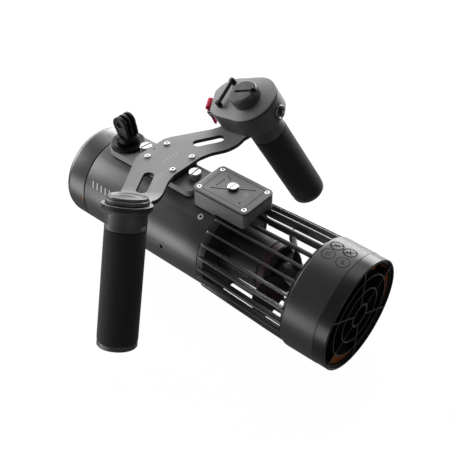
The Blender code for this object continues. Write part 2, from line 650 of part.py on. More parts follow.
def grip(side, frame):
    """The pieces that both grips share, from the arm down."""
    tag = "right" if side > 0 else "left"
    flange = ARM_TOP - PLATE_T - GAP
    turned(f"grip_collar_{tag}", [
        (21, flange), (21, 22.4), (20.4, 21.8), (GRIP_R, 21.4), (GRIP_R, FOAM_TOP + GAP), (12.3, FOAM_TOP + GAP),
        (12.3, flange)], frame, ANODISED, ring=True, sides=36)
    turned(f"grip_core_{tag}", [
        (12, flange), (12, FOAM_TOP), (CORE_R, FOAM_TOP), (CORE_R, FOAM_END), (STEM_R + GAP, FOAM_END),
        (STEM_R + GAP, flange)], frame, ANODISED, ring=True, sides=SMALL)
    turned(f"grip_foam_{tag}", [
        (GRIP_R, FOAM_TOP), (GRIP_R, FOAM_END), (CORE_R + GAP, FOAM_END), (CORE_R + GAP, FOAM_TOP)],
        frame, FOAM, ring=True, sides=36)
    turned(f"grip_end_{tag}", [
        (0, FOAM_END + 9), (STEM_R, FOAM_END + 9), (STEM_R, FOAM_END - GAP), (18.6, FOAM_END - GAP),
        (18.6, -101.8), (17.4, -103.3), (0, -103.3)], frame, ANODISED, sides=36)


def left_cap(frame):
    """A two-step dished cap whose stem runs down through the arm into the grip's core."""
    turned("grip_cap_left", [
        (0, 34.0), (8, 34.0), (13.5, 34.6), (16.4, 35.8), (18.0, 35.2), (18.4, 33.2), (19.4, 32.4), (19.7, 31.6),
        (19.7, 29.4), (19.2, ARM_TOP + GAP), (STEM_R, ARM_TOP + GAP), (STEM_R, 0), (0, 0)],
        frame, ANODISED, sides=36)


def head_housing(frame):
    """A cup with a wrapped outline; its stem goes down through the arm into the right grip."""
    low, high = ARM_TOP + GAP, HEAD_TOP - 2.8
    housing = slab("head_housing", [head_outline()], low, high, frame, ANODISED)
    join(housing, turned("head_stem", disc_profile(STEM_R, 0, low + 1), frame, sides=SMALL))
    join(housing, trigger_lugs(frame))
    cut(housing, arm_clearance())
    cut(housing, slab("head_hollow", [head_outline(HEAD_WALL)], low + 3, 80, frame))
    cut(housing, turned("pin_hole", disc_profile(1.3, -12, 12), TRIGGER_FRAME,
        at=(TRIGGER_PIN[0], 0, TRIGGER_PIN[1]), turn=along((0, 1, 0)), sides=12))
    out = button_out()
    centre = Vector((HEAD_REAR[0], HEAD_REAR[1], BUTTON_H))
    sink = [(0, 40), (7.4, 40), (7.4, 26.9), (4.6, 26.9), (4.6, 20), (0, 20)]
    cut(housing, turned("button_hole", sink, frame, at=centre, turn=along(out), sides=SMALL))
    return housing


def trigger_frame(frame):
    """An empty at the head's front circle: X points out through the trigger, Y across it, Z up the grip."""
    x, y, _ = HEAD_FRONT
    turn = Matrix.Rotation(math.radians(TRIGGER_TURN), 4, "Z")
    return empty("trigger_frame", Matrix.Translation(Vector((x, y, 0)) * MM) @ turn, frame)


def trigger_lugs(frame):
    wide = 9.0
    return blocks("lug_tool", [
        ((20, 6.5, 41), (29.5, wide, 48), None), ((20, -wide, 41), (29.5, -6.5, 48), None)], TRIGGER_FRAME)


def trigger(frame):
    """A narrow curved lever with a rounded head; two knuckles leave room for the spring between them."""
    r, h = TRIGGER_PIN
    side = ([(29.8, 45.4), (30.6, 42), (31.2, 36), (32.2, 29), (32.4, 26.6), (31.6, 25.8), (30.0, 26.2),
        (29.2, 30), (28.6, 36), (28.2, 41), (26.2, 44)] + arc(26.9, 50.1, 3.3, 205, -40, 12))
    across = Matrix.Rotation(math.pi / 2, 4, "X")
    blade = slab("trigger", [side], -6.1, 6.1, TRIGGER_FRAME, RED, turn=across)
    for i, low in enumerate((-6.1, 3.4)):
        join(blade, turned(f"knuckle_{i}", disc_profile(2.8, low, low + 2.7), TRIGGER_FRAME, at=(r, 0, h),
                           turn=along((0, 1, 0)), sides=TINY))
    cut(blade, turned("knuckle_bore", disc_profile(1.35, -8, 8), TRIGGER_FRAME, at=(r, 0, h),
                      turn=along((0, 1, 0)), sides=TINY))
    cut(blade, turned("spring_room", disc_profile(3.3, -3.4, 3.4), TRIGGER_FRAME, at=(r, 0, h),
                      turn=along((0, 1, 0)), sides=TINY))
    turned("trigger_pin", disc_profile(1.0, -9.0, 9.0), TRIGGER_FRAME, STEEL, at=(r, 0, h), turn=along((0, 1, 0)),
           sides=TINY)
    coil(r, h)


def coil(r, h):
    """The torsion spring round the pin."""
    turns, wire, radius, length = 4, 0.32, 1.85, 5.2
    curve = bpy.data.curves.new("trigger_spring", "CURVE")
    curve.dimensions = "3D"
    curve.bevel_depth = wire * MM
    curve.bevel_resolution = 0
    curve.use_fill_caps = True
    spline = curve.splines.new("POLY")
    count = turns * 10
    spline.points.add(count)
    for i, point in enumerate(spline.points):
        a = 2 * math.pi * turns * i / count
        y = (i / count - 0.5) * length
        point.co = ((r + radius * math.cos(a)) * MM, y * MM, (h + radius * math.sin(a)) * MM, 1)
    spring = bpy.data.objects.new("trigger_spring", curve)
    PARTS.objects.link(spring)
    spring.parent = TRIGGER_FRAME
    curve.materials.append(material("trigger_spring", *STEEL[1:]))


def button_out():
    a = math.radians(BUTTON_TURN)
    return Vector((math.cos(a), math.sin(a), 0))


def thumb_button(frame):
    centre = Vector((HEAD_REAR[0], HEAD_REAR[1], BUTTON_H))
    turn = along(button_out())
    turned("thumb_button", [
        (0, 28.2), (3.2, 28.0), (3.9, 27.4), (3.9, 24.2), (4.9, 24.2), (4.9, 22.6), (0, 22.6)], frame, BLACK,
        at=centre, turn=turn, sides=SMALL)
    turned("button_bezel", [(6.6, 29.6), (7.0, 29.2), (7.0, 27.2), (4.4, 27.2), (4.4, 27.8), (6.2, 29.6)], frame,
        STEEL, at=centre, turn=turn, sides=SMALL, ring=True)


def head_top(frame):
    low = HEAD_TOP - 2.5
    slab("head_lid", [head_outline(-0.3), arc(0, 0, 3.3, 0, 345, 16)], low, HEAD_TOP, frame,
         ANODISED)
    dial = turned("speed_dial", [
        (0, 66), (12.8, 66), (14.2, 65.4), (DIAL_R, 64.2), (DIAL_R, HEAD_TOP + GAP), (3, HEAD_TOP + GAP),
        (3, 44), (0, 44)], frame, ANODISED, sides=36)
    lean = Matrix.Rotation(math.radians(-73), 4, "Z")
    cut(dial, blocks("dial_notch", [((-9, -1.4, 63.4), (20, 1.4, 70), lean)], frame))
    cut(dial, blocks("dial_step", [((9.5, -3.0, 62.4), (20, 3.0, 70), lean)], frame))
    bar = blocks("lanyard_bar", [
        ((-2.3, -2.3, HEAD_TOP + GAP), (2.3, 2.3, 61.2), Matrix.Translation(Vector((-16.3, 25.6, 0)) * MM))],
        frame, BLACK)
    join(bar, blocks("far_post", [
        ((-2.3, -2.3, HEAD_TOP + GAP), (2.3, 2.3, 61.2), Matrix.Translation(Vector((12.9, 29.9, 0)) * MM))],
        frame))
    reach = Vector((29.2, 4.3, 0))
    join(bar, turned("bar_tool", disc_profile(1.9, 0, reach.length), frame, at=(-16.3, 25.6, 58.7),
        turn=along(reach), sides=12))
    board = slab("head_board", [wrap((0, -1, 20), (-2.5, 18, 17), 9), arc(0, 0, 4, 0, 330, 12)], 34.5, 36, frame,
        GREEN)
    return board


# ---------------------------------------------------------------- assembly

nose()
hull_tube()
bulkhead_and_pod()
propeller()
cage_and_nozzle()
grille()
battery()
rail()
plate(bracket())
control_box()
camera_mount()
LEFT = grip_frame(-1)
RIGHT = grip_frame(1)
TRIGGER_FRAME = trigger_frame(RIGHT)
grip(-1, LEFT)
grip(1, RIGHT)
left_cap(LEFT)
head_housing(RIGHT)
head_top(RIGHT)
trigger(RIGHT)
thumb_button(RIGHT)
smooth_round()
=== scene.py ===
"""Looks of the underwater scooter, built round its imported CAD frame.

Lengths are millimetres in the hull's frame (axis along Y, outlet at y = 0) or in a grip's frame
(Z up the grip's axis, Y forward), and become metres through MM.
"""

import math

import bmesh
import bpy
from mathutils import Matrix, Vector


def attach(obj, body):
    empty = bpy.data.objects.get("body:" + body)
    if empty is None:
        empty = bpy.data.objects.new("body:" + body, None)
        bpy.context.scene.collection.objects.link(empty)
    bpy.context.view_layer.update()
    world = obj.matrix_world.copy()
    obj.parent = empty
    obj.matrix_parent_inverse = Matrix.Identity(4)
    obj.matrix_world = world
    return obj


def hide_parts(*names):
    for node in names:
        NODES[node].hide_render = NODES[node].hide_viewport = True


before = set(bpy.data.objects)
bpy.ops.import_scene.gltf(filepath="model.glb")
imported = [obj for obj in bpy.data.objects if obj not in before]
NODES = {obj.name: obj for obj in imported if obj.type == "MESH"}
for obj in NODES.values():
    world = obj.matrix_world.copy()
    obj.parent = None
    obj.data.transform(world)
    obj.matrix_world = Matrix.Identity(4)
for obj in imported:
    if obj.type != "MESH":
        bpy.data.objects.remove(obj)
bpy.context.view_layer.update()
MM = 0.001

# The hull, and the frame that its CAD is built in
LENGTH = 339.2
NOZZLE_R = 56.5
TUBE_R, TUBE_BORE = 50.0, 46.5
POD_R = 26.5
SLAT_COUNT, SLAT_TURN = 24, 2.4
BLADE_COUNT = 3
HULL = Matrix.Translation((0, -LENGTH / 2 * MM, NOZZLE_R * MM))

# The deck: rail, control box, bracket plate
RAIL_NOSE = 288.2
RAIL_SCREWS = (("front", 262.7, -8), ("rear", 196.0, 6))
BOX_HALF, BOX_REAR, BOX_FRONT, BOX_CORNER = 21.7, 116.0, 180.2, 5
BOX_MIDDLE = 148.2
LID_PRINT = (67.9, 68.14)

# The bracket's arms and the grips
GRIP_AT = Vector((103.8, 185.1, 60.0))
GRIP_DOWN = Vector((0.4316, -0.2343, -0.8711)).normalized()
PLATE_TOP, PLATE_T, ARM_TOP = 66.7, 4.0, 28.5
BEND_R, ARM_END_R = 55.0, 22.7
HEAD_REAR, HEAD_FRONT = (1.0, -2.5, 28.2), (-3.0, 21.5, 25.0)
TRIGGER_TURN, TRIGGER_FLAT, TRIGGER_PIN = 117.0, 21.7, (27.5, 44.5)
BUTTON_TURN, BUTTON_H = -80.0, 37.0


def along(direction, up=(0, 0, 1)):
    """A turn that takes +Z to the direction."""
    z = Vector(direction).normalized()
    x = Vector(up).cross(z)
    x = x.normalized() if x.length > 1e-6 else Vector((1, 0, 0))
    return Matrix((x, z.cross(x), z)).transposed().to_4x4()


def at(x, y, z):
    """A shift in millimetres."""
    return Matrix.Translation(Vector((x, y, z)) * MM)


AXIS = HULL @ along((0, 1, 0))


def grip_frame(side):
    """The frame of the grip on the side +1 or -1: Z up its axis, Y forward."""
    up = -Vector((side * GRIP_DOWN.x, GRIP_DOWN.y, GRIP_DOWN.z))
    front = (Vector((0, 1, 0)) - up * up.y).normalized()
    turn = Matrix((front.cross(up), front, up)).transposed().to_4x4()
    return HULL @ at(side * GRIP_AT.x, GRIP_AT.y, GRIP_AT.z) @ turn


LEFT, RIGHT = grip_frame(-1), grip_frame(1)
TRIGGER = RIGHT @ at(HEAD_FRONT[0], HEAD_FRONT[1], 0) @ Matrix.Rotation(math.radians(TRIGGER_TURN), 4,
    "Z")


# ---------------------------------------------------------------- materials

def make(name, colour, rough, metallic=0.0, mottle=0.08, mottle_size=25.0, grain=1400.0, bump=0.04,
         lines=None, wear_and_highlight=0.0, coat=0.0, specular=0.5, sheen=0.0):
    """A Principled material with mottling and grain and, if asked, turned lines and edges lightened
    partly as wear and partly as a painted highlight.
    """
    made = bpy.data.materials.new(name)
    made.use_nodes = True
    tree = made.node_tree
    shader = tree.nodes["Principled BSDF"]
    shader.inputs["Metallic"].default_value = metallic
    shader.inputs["Coat Weight"].default_value = coat
    shader.inputs["Coat Roughness"].default_value = 0.15
    shader.inputs["Specular IOR Level"].default_value = specular
    shader.inputs["Sheen Weight"].default_value = sheen

    def node(kind, **settings):
        new = tree.nodes.new(kind)
        for key, value in settings.items():
            setattr(new, key, value)
        return new

    def link(a, b):
        tree.links.new(a, b)

    coords = node("ShaderNodeTexCoord").outputs["Object"]
    cloud = node("ShaderNodeTexNoise")
    cloud.inputs["Scale"].default_value = mottle_size
    cloud.inputs["Detail"].default_value = 4
    link(coords, cloud.inputs["Vector"])
    tint = node("ShaderNodeMapRange")
    tint.inputs["To Min"].default_value = 1 - mottle
    tint.inputs["To Max"].default_value = 1 + mottle
    link(cloud.outputs["Fac"], tint.inputs["Value"])
    shade = node("ShaderNodeMix", data_type="RGBA", blend_type="MULTIPLY")
    shade.inputs[0].default_value = 1.0
    shade.inputs[6].default_value = (*colour, 1)
    link(tint.outputs["Result"], shade.inputs[7])
    out = shade.outputs[2]
    # Edges found by pointiness are lightened: partly wear, partly a painted highlight where edges catch
    # the light.
    if wear_and_highlight:
        pointy = node("ShaderNodeNewGeometry").outputs["Pointiness"]
        edge = node("ShaderNodeMapRange")
        edge.inputs["From Min"].default_value = 0.52
        edge.inputs["From Max"].default_value = 0.60
        edge.inputs["To Max"].default_value = wear_and_highlight
        link(pointy, edge.inputs["Value"])
        worn_and_lit = node("ShaderNodeMix", data_type="RGBA")
        worn_and_lit.inputs[7].default_value = (0.42, 0.42, 0.43, 1)
        link(edge.outputs["Result"], worn_and_lit.inputs[0])
        link(out, worn_and_lit.inputs[6])
        out = worn_and_lit.outputs[2]
    link(out, shader.inputs["Base Color"])
    matt = node("ShaderNodeMapRange")
    matt.inputs["To Min"].default_value = max(rough - 0.05, 0)
    matt.inputs["To Max"].default_value = rough + 0.05
    link(cloud.outputs["Fac"], matt.inputs["Value"])
    link(matt.outputs["Result"], shader.inputs["Roughness"])
    fine = node("ShaderNodeTexNoise")
    fine.inputs["Scale"].default_value = grain
    fine.inputs["Detail"].default_value = 2
    link(coords, fine.inputs["Vector"])
    relief = node("ShaderNodeBump")
    relief.inputs["Strength"].default_value = bump
    relief.inputs["Distance"].default_value = 0.0003
    link(fine.outputs["Fac"], relief.inputs["Height"])
    normal = relief.outputs["Normal"]
    if lines:
        stretch, pitch, depth = lines
        squeeze = node("ShaderNodeMapping")
        squeeze.inputs["Scale"].default_value = stretch
        link(coords, squeeze.inputs["Vector"])
        ridge = node("ShaderNodeTexNoise")
        ridge.inputs["Scale"].default_value = pitch
        ridge.inputs["Detail"].default_value = 1
        link(squeeze.outputs["Vector"], ridge.inputs["Vector"])
        second = node("ShaderNodeBump")
        second.inputs["Strength"].default_value = depth
        second.inputs["Distance"].default_value = 0.0002
        link(ridge.outputs["Fac"], second.inputs["Height"])
        link(normal, second.inputs["Normal"])
        normal = second.outputs["Normal"]
    link(normal, shader.inputs["Normal"])
    return made


TURNED = ((0.02, 0.02, 1.0), 1500.0, 0.10)
HULL_GREY = make("hull_anodised", (0.135, 0.135, 0.138), 0.35, 0.62, lines=TURNED, wear_and_highlight=0.25)
NOZZLE_GREY = make("nozzle_anodised", (0.075, 0.075, 0.077), 0.36, 0.5, lines=TURNED, wear_and_highlight=0.2)
# Glossier than the nozzle, and darker: the darker colour is painted shade for the dark band along the
# rear lip.
GLOSS_SHADED = make("nozzle_lip_painted_shade", (0.052, 0.052, 0.054), 0.28, 0.8, lines=TURNED, wear_and_highlight=0.3)
DECK_GREY = make("deck_anodised", (0.12, 0.12, 0.122), 0.46, 0.35, wear_and_highlight=0.3)
# Lighter than the box and head sides: painted light, the top light on the lids.
LID_GREY_LIT = make("lid_anodised_lit", (0.17, 0.17, 0.172), 0.46, 0.4, wear_and_highlight=0.5)
# Much lighter than the hull's grey: painted light, the top light that the plate catches.
PLATE_GREY_LIT = make("plate_anodised_lit", (0.29, 0.29, 0.292), 0.55, 0.25, wear_and_highlight=0.35, mottle_size=60)
# Painted shade for the plate's upright side faces.
EDGE_SHADE = make("plate_edge_shade", (0.03, 0.03, 0.031), 0.4, 0.3)
CAGE_BLACK = make("cage_anodised", (0.022, 0.022, 0.023), 0.36, 0.4, wear_and_highlight=0.7)
POD_GREY = make("pod_anodised", (0.05, 0.05, 0.052), 0.38, 0.5, lines=TURNED)
HEAD_GREY = make("head_anodised", (0.095, 0.095, 0.098), 0.38, 0.5, wear_and_highlight=0.25)
NOTCH_SHADE = make("notch_shadow", (0.02, 0.02, 0.021), 0.5)
COLLAR_GREY = make("collar_anodised", (0.10, 0.10, 0.102), 0.38, 0.5, lines=TURNED, wear_and_highlight=0.2)
MOULDED = make("black_moulding", (0.010, 0.010, 0.011), 0.42, grain=700, bump=0.12, mottle=0.12,
    specular=0.35)
MOUNT_BLACK = make("mount_moulding", (0.004, 0.004, 0.004), 0.36, grain=700, bump=0.1, mottle=0.1,
    specular=0.22)
# Lighter than the deck's grey: painted light on the rail's top, which lies partly under the plate.
RAIL_GREY_LIT = make("rail_anodised_lit", (0.27, 0.27, 0.273), 0.5, 0.15, wear_and_highlight=0.4)
PROP_BLACK = make("prop_moulding", (0.016, 0.016, 0.017), 0.30, grain=500, bump=0.08)
FOAM = make("grip_foam", (0.022, 0.022, 0.023), 0.88, grain=1100, bump=0.6, mottle=0.25, mottle_size=220,
    specular=0.25, sheen=0.15)
SEAL = make("seal_rubber", (0.012, 0.012, 0.012), 0.75, bump=0.2)
STEEL = make("bright_steel", (0.78, 0.78, 0.79), 0.22, 1.0, mottle=0.04, bump=0.03)
BOLT_STEEL = make("bolt_steel", (0.72, 0.72, 0.73), 0.35, 0.8, mottle=0.04)
RIM_STEEL = make("rim_steel", (0.30, 0.30, 0.31), 0.25, 0.9, mottle=0.04)
KNURLED = make("knurled_steel", (0.30, 0.30, 0.31), 0.32, 0.9, mottle=0.1)
STEEL_DARK = make("dark_steel", (0.06, 0.06, 0.065), 0.35, 0.9, mottle=0.1)
# Black for engraved print and dark joints, also used as painted shade: under the rail and box, in the
# duct's rear, on the grille's walls, in screw sockets and in the left cap's grooves.
INK_AND_SHADE = make("engraved_ink_and_painted_shade", (0.004, 0.004, 0.004), 0.6, bump=0.05, specular=0.08)
PALE = make("pale_print", (0.92, 0.92, 0.92), 0.5, bump=0.05)
FAINT = make("faint_print", (0.42, 0.42, 0.42), 0.5, bump=0.05)
SOFT_INK = make("worn_ink", (0.03, 0.03, 0.03), 0.6, bump=0.05, specular=0.15)
ORANGE = make("orange_liner", (0.36, 0.09, 0.018), 0.45, bump=0.1)
ORANGE_MARK = make("orange_mark", (0.36, 0.12, 0.04), 0.5, bump=0.05)
RED = make("red_trigger", (0.66, 0.004, 0.055), 0.40, specular=0.25, bump=0.06)
DARK_RED = make("dark_red_ring", (0.045, 0.008, 0.014), 0.45, bump=0.1)
COPPER = make("winding_copper", (0.62, 0.28, 0.13), 0.35, 0.9, lines=((1, 1, 0.05), 900.0, 0.5))
BOARD = make("circuit_board", (0.02, 0.11, 0.05), 0.5, grain=300, bump=0.3)
WRAP = make("battery_wrap", (0.03, 0.06, 0.16), 0.4, mottle=0.15, coat=0.2)


# ---------------------------------------------------------------- shapes

def put(name, shape, look, body, matrix, stands_for=(), smooth=32, bevel=0.0, steps=2):
    """Make an object from a bmesh in millimetres, in the frame given by matrix."""
    bmesh.ops.scale(shape, vec=(MM, MM, MM), verts=shape.verts)
    mesh = bpy.data.meshes.new(name)
    shape.to_mesh(mesh)
    shape.free()
    obj = bpy.data.objects.new(name, mesh)
    bpy.context.scene.collection.objects.link(obj)
    obj.matrix_world = matrix
    if look:
        mesh.materials.append(look)
    if bevel:
        soften(obj, bevel, steps)
    if smooth:
        mesh = obj.data
        mesh.shade_smooth()
        mesh.set_sharp_from_angle(angle=math.radians(smooth))
    if body:
        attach(obj, body)
        if stands_for:
            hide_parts(*stands_for)
    return obj


def settle(obj):
    """Apply the object's modifiers."""
    graph = bpy.context.evaluated_depsgraph_get()
    mesh = bpy.data.meshes.new_from_object(obj.evaluated_get(graph))
    obj.modifiers.clear()
    old, obj.data = obj.data, mesh
    mesh.name = old.name
    bpy.data.meshes.remove(old)


def soften(obj, width, steps):
    """Round the sharp edges."""
    bevel = obj.modifiers.new("bevel", "BEVEL")
    bevel.width = width * MM
    bevel.segments = steps
    bevel.limit_method = "ANGLE"
    bevel.angle_limit = math.radians(40)
    settle(obj)


def carve(obj, *tools, operation="DIFFERENCE", smooth=32):
    """Cut the object with the tools, or join them to it, and remove the tools."""
    for tool in tools:
        modifier = obj.modifiers.new("carve", "BOOLEAN")
        modifier.operation = operation
        modifier.solver = "EXACT"
        modifier.object = tool
    bpy.context.view_layer.update()
    settle(obj)
    for tool in tools:
        mesh = tool.data
        bpy.data.objects.remove(tool)
        bpy.data.meshes.remove(mesh)
    obj.data.shade_smooth()
    obj.data.set_sharp_from_angle(angle=math.radians(smooth))


def fillet(points, closed):
    """Corners given a third number are rounded to that radius."""
    out = []
    count = len(points)
    for i, point in enumerate(points):
        corner = Vector(point[:2])
        if len(point) < 3 or (not closed and i in (0, count - 1)):
            out.append(tuple(corner))
            continue
        before, after = Vector(points[i - 1][:2]) - corner, Vector(points[(i + 1) % count][:2]) - corner
        u, v = before.normalized(), after.normalized()
        half = u.angle(v) / 2
        reach = min(point[2] / math.tan(half), 0.49 * before.length, 0.49 * after.length)
        radius = reach * math.tan(half)
        centre = corner + (u + v).normalized() * radius / math.sin(half)
        a, b = corner + u * reach - centre, corner + v * reach - centre
        first = math.atan2(a.y, a.x)
        sweep = (math.atan2(b.y, b.x) - first + math.pi) % (math.tau) - math.pi
        for k in range(5):
            angle = first + sweep * k / 4
            out.append((centre.x + radius * math.cos(angle), centre.y + radius * math.sin(angle)))
    return out


def revolve(profile, sides=96, closed=False, wobble=None):
    """A bmesh turned about Z from (radius, height[, fillet]) points.

    wobble(angle, r, h), if given, changes the radius.
    """
    points = fillet(profile, closed)
    shape = bmesh.new()
    rings = []
    for r, h in points:
        if r < 1e-6:
            rings.append([shape.verts.new((0, 0, h))])
            continue
        ring = []
        for k in range(sides):
            a = math.tau * k / sides
            rr = wobble(a, r, h) if wobble else r
            ring.append(shape.verts.new((rr * math.cos(a), rr * math.sin(a), h)))
        rings.append(ring)
    pairs = list(zip(rings, rings[1:])) + ([(rings[-1], rings[0])] if closed else [])
    for low, high in pairs:
        for k in range(sides):
            j = (k + 1) % sides
            corners = [low[k % len(low)], low[j % len(low)], high[j % len(high)], high[k % len(high)]]
            corners = [c for i, c in enumerate(corners) if c not in corners[:i]]
            if len(corners) > 2:
                shape.faces.new(corners)
    bmesh.ops.recalc_face_normals(shape, faces=shape.faces)
    return shape


def pipe_profile(outer, bore, low, high, edge=0.3):
    """A ring's section for revolve."""
    return [(outer, high, edge), (outer, low, edge), (bore, low, edge), (bore, high, edge)]


def rod_profile(radius, low, high, edge=0.3):
    """A solid cylinder's section for revolve."""
    return [(0, high), (radius, high, edge), (radius, low, edge), (0, low)]


def arc(x, y, radius, start, end, count):
    """Points on an arc between two angles in degrees."""
    step = (end - start) / (count - 1)
    angles = [math.radians(start + step * i) for i in range(count)]
    return [(x + radius * math.cos(a), y + radius * math.sin(a)) for a in angles]


def rounded_box(half_x, low_y, high_y, radius, count=9):
    """A rectangle's outline with round corners."""
    corners = ((half_x, low_y, -1, 1, -90), (half_x, high_y, -1, -1, 0), (-half_x, high_y, 1, -1, 90),
               (-half_x, low_y, 1, 1, 180))
    outline = []
    for x, y, sx, sy, start in corners:
        outline += arc(x + sx * radius, y + sy * radius, radius, start, start + 90, count)
    return outline


def obround(a, b, radius, count=13):
    """A slot's outline, from a to b."""
    lean = math.degrees(math.atan2(b[1] - a[1], b[0] - a[0]))
    return arc(*b, radius, lean - 90, lean + 90, count) + arc(*a, radius, lean + 90, lean + 270, count)


def wrap(rear, front, count, inset):
    """The outline round two circles, each given as (x, y, radius), with count points on each end."""
    (x1, y1, r1), (x2, y2, r2) = rear, front
    lean = math.degrees(math.atan2(y2 - y1, x2 - x1))
    touch = math.degrees(math.acos((r1 - r2) / math.hypot(x2 - x1, y2 - y1)))
    return (arc(x2, y2, r2 - inset, lean - touch, lean + touch, count) + arc(x1, y1, r1 - inset, lean
            + touch, lean - touch + 360, count))


def head_outline(inset=0.0):
    """The head's outline: two wrapped circles, pressed flat behind the trigger."""
    turn = math.radians(TRIGGER_TURN)
    normal = Vector((math.cos(turn), math.sin(turn)))
    limit = Vector(HEAD_FRONT[:2]).dot(normal) + TRIGGER_FLAT - inset
    return [tuple(Vector(p) - normal * max(Vector(p).dot(normal) - limit, 0)) for p in wrap(HEAD_REAR,
        HEAD_FRONT, 90, inset)]


def slab(outlines, low, high):
    """A bmesh of the first outline, less the others, from low to high."""
    curve = bpy.data.curves.new("slab", "CURVE")
    curve.dimensions = "2D"
    curve.fill_mode = "BOTH"
    curve.extrude = (high - low) / 2
    for outline in outlines:
        spline = curve.splines.new("POLY")
        spline.points.add(len(outline) - 1)
        for point, (x, y) in zip(spline.points, outline):
            point.co = (x, y, 0, 1)
        spline.use_cyclic_u = True
    flat = bpy.data.objects.new("slab", curve)
    bpy.context.scene.collection.objects.link(flat)
    graph = bpy.context.evaluated_depsgraph_get()
    mesh = bpy.data.meshes.new_from_object(flat.evaluated_get(graph))
    bpy.data.objects.remove(flat)
    bpy.data.curves.remove(curve)
    shape = bmesh.new()
    shape.from_mesh(mesh)
    bpy.data.meshes.remove(mesh)
    bmesh.ops.remove_doubles(shape, verts=shape.verts, dist=1e-4)
    bmesh.ops.translate(shape, verts=shape.verts, vec=(0, 0, (low + high) / 2))
    bmesh.ops.dissolve_limit(shape, angle_limit=0.001, verts=shape.verts, edges=shape.edges)
    bmesh.ops.recalc_face_normals(shape, faces=shape.faces)
    return shape


def layers(outline_at, steps):
    """A closed solid whose outline changes with height: outline_at(inset) at each (inset, height)."""
    shape = bmesh.new()
    rings = [[shape.verts.new((x, y, h)) for x, y in outline_at(inset)] for inset, h in steps]
    for low, high in zip(rings, rings[1:]):
        for k in range(len(low)):
            j = (k + 1) % len(low)
            shape.faces.new((low[k], low[j], high[j], high[k]))
    shape.faces.new(rings[0])
    shape.faces.new(rings[-1])
    bmesh.ops.recalc_face_normals(shape, faces=shape.faces)
    return shape


def brick(low, high, turn=None):
    """A box between two corners."""
    shape = bmesh.new()
    low, high = Vector(low), Vector(high)
    fit = Matrix.Translation((low + high) / 2) @ Matrix.Diagonal((*(high - low), 1))
    bmesh.ops.create_cube(shape, size=1, matrix=turn @ fit if turn else fit)
    return shape


def tool(shape, matrix):
    """A piece that only cuts or joins another."""
    return put("tool", shape, None, None, matrix, smooth=0)


def turned(name, profile, look, body, stands_for=(), matrix=AXIS, sides=128, closed=False, wobble=None):
    """A turned piece, about the hull's axis unless a matrix says otherwise."""
    return put(name, revolve(profile, sides, closed, wobble), look, body, matrix, stands_for)


def ribbon(strokes, radius, width):
    """Bands of one width on the round surface whose radius at y is radius(y).

    Each stroke is a list of (angle in degrees, y) and whether it closes.
    """
    shape = bmesh.new()
    for stroke, closed in strokes:
        if not closed:
            stroke = [(stroke[0][0] + (stroke[-1][0] - stroke[0][0]) * t / 8, stroke[0][1]
                      + (stroke[-1][1] - stroke[0][1]) * t / 8) for t in range(9)]
        middle = radius(stroke[0][1])
        flat = [Vector((math.radians(a) * middle, y)) for a, y in stroke]
        count = len(flat)
        bands = []
        for i, p in enumerate(flat):
            ahead = flat[(i + 1) % count] if closed or i < count - 1 else p
            behind = flat[i - 1] if closed or i > 0 else p
            side = (ahead - behind).normalized()
            side = Vector((-side.y, side.x)) * width / 2
            row = []
            for q, lift in ((p + side, 0), (p - side, 0), (p - side, -0.25), (p + side, -0.25)):
                r = radius(q.y) + lift
                row.append(shape.verts.new((r * math.cos(q.x / middle), q.y, r * math.sin(q.x / middle))))
            bands.append(row)
        pairs = list(zip(bands, bands[1:])) + ([(bands[-1], bands[0])] if closed else [])
        for a, b in pairs:
            for k in range(4):
                j = (k + 1) % 4
                shape.faces.new((a[k], a[j], b[j], b[k]))
        if not closed:
            shape.faces.new(bands[0][::-1])
            shape.faces.new(bands[-1])
    bmesh.ops.recalc_face_normals(shape, faces=shape.faces)
    return shape


def circle_on(angle, y, size, radius, count=28):
    """Points of a circle drawn on the hull round (angle, y)."""
    turn = math.degrees(size / radius)
    steps = [math.tau * k / count for k in range(count)]
    return [(angle + turn * math.cos(step), y + size * math.sin(step)) for step in steps]


# ---------------------------------------------------------------- hull

def nose():
    """The nose cap, with its orange mark."""
    cap = turned("nose_shell", [
        (0, LENGTH), (43.6, LENGTH, 2), (46.8, 338.5, 2), (48.9, 336.3, 2), (TUBE_R, 332.6, 4),
        (TUBE_R, 310.7, 0.3), (46.0, 310.7), (46.0, 305.3), (44.4, 305.3), (44.4, 301.7), (46.0, 301.7),
        (46.0, 296), (42.6, 296), (42.6, 330), (39, 334), (0, 334)], HULL_GREY, "nose", ["nose_cap"])
    bearing = math.radians(178.2)
    out = Vector((math.cos(bearing), 0, math.sin(bearing)))
    mark = HULL @ Matrix.Translation((Vector((0, 314.4, 0)) + out * 48.4) * MM) @ along(out)
    carve(cap, tool(revolve(rod_profile(2.4, 0, 4), 24), mark))
    turned("nose_marker", rod_profile(2.0, 0.3, 1.5, 0.3), ORANGE_MARK, "nose", ["nose_mark"], mark, 32)
    NODES["nose_o_ring"].data.materials[0] = SEAL


def tube():
    """The hull tube, with its side screw and vent hole."""
    body = turned("hull_shell", pipe_profile(TUBE_R, TUBE_BORE, 152.2, 309.4, 0.3), HULL_GREY, "hull",
        ["body_tube"], sides=192, closed=True)
    bearing = math.radians(122.3)
    out = Vector((math.cos(bearing), 0, math.sin(bearing)))
    spot = HULL @ Matrix.Translation((Vector((0, 165.7, 0)) + out * TUBE_R) * MM) @ along(out)
    hole = [(0, 3), (3.5, 3), (3.5, -0.6), (2.2, -1.9), (2.2, -5), (0, -5)]
    vent = HULL @ at(-TUBE_R, 198, 1) @ along((1, 0, 0))
    carve(body, tool(revolve(hole, 32), spot), tool(revolve(rod_profile(2.2, -3, 6), 32), vent))
    hex_head("side_screw_head", "side_screw", spot, [
        (0, 0.1), (3.1, 0.1, 0.3), (3.1, -0.5), (1.8, -1.7), (1.8, -3.3), (0, -3.3)], 1.3, -1.2, 3, PALE)


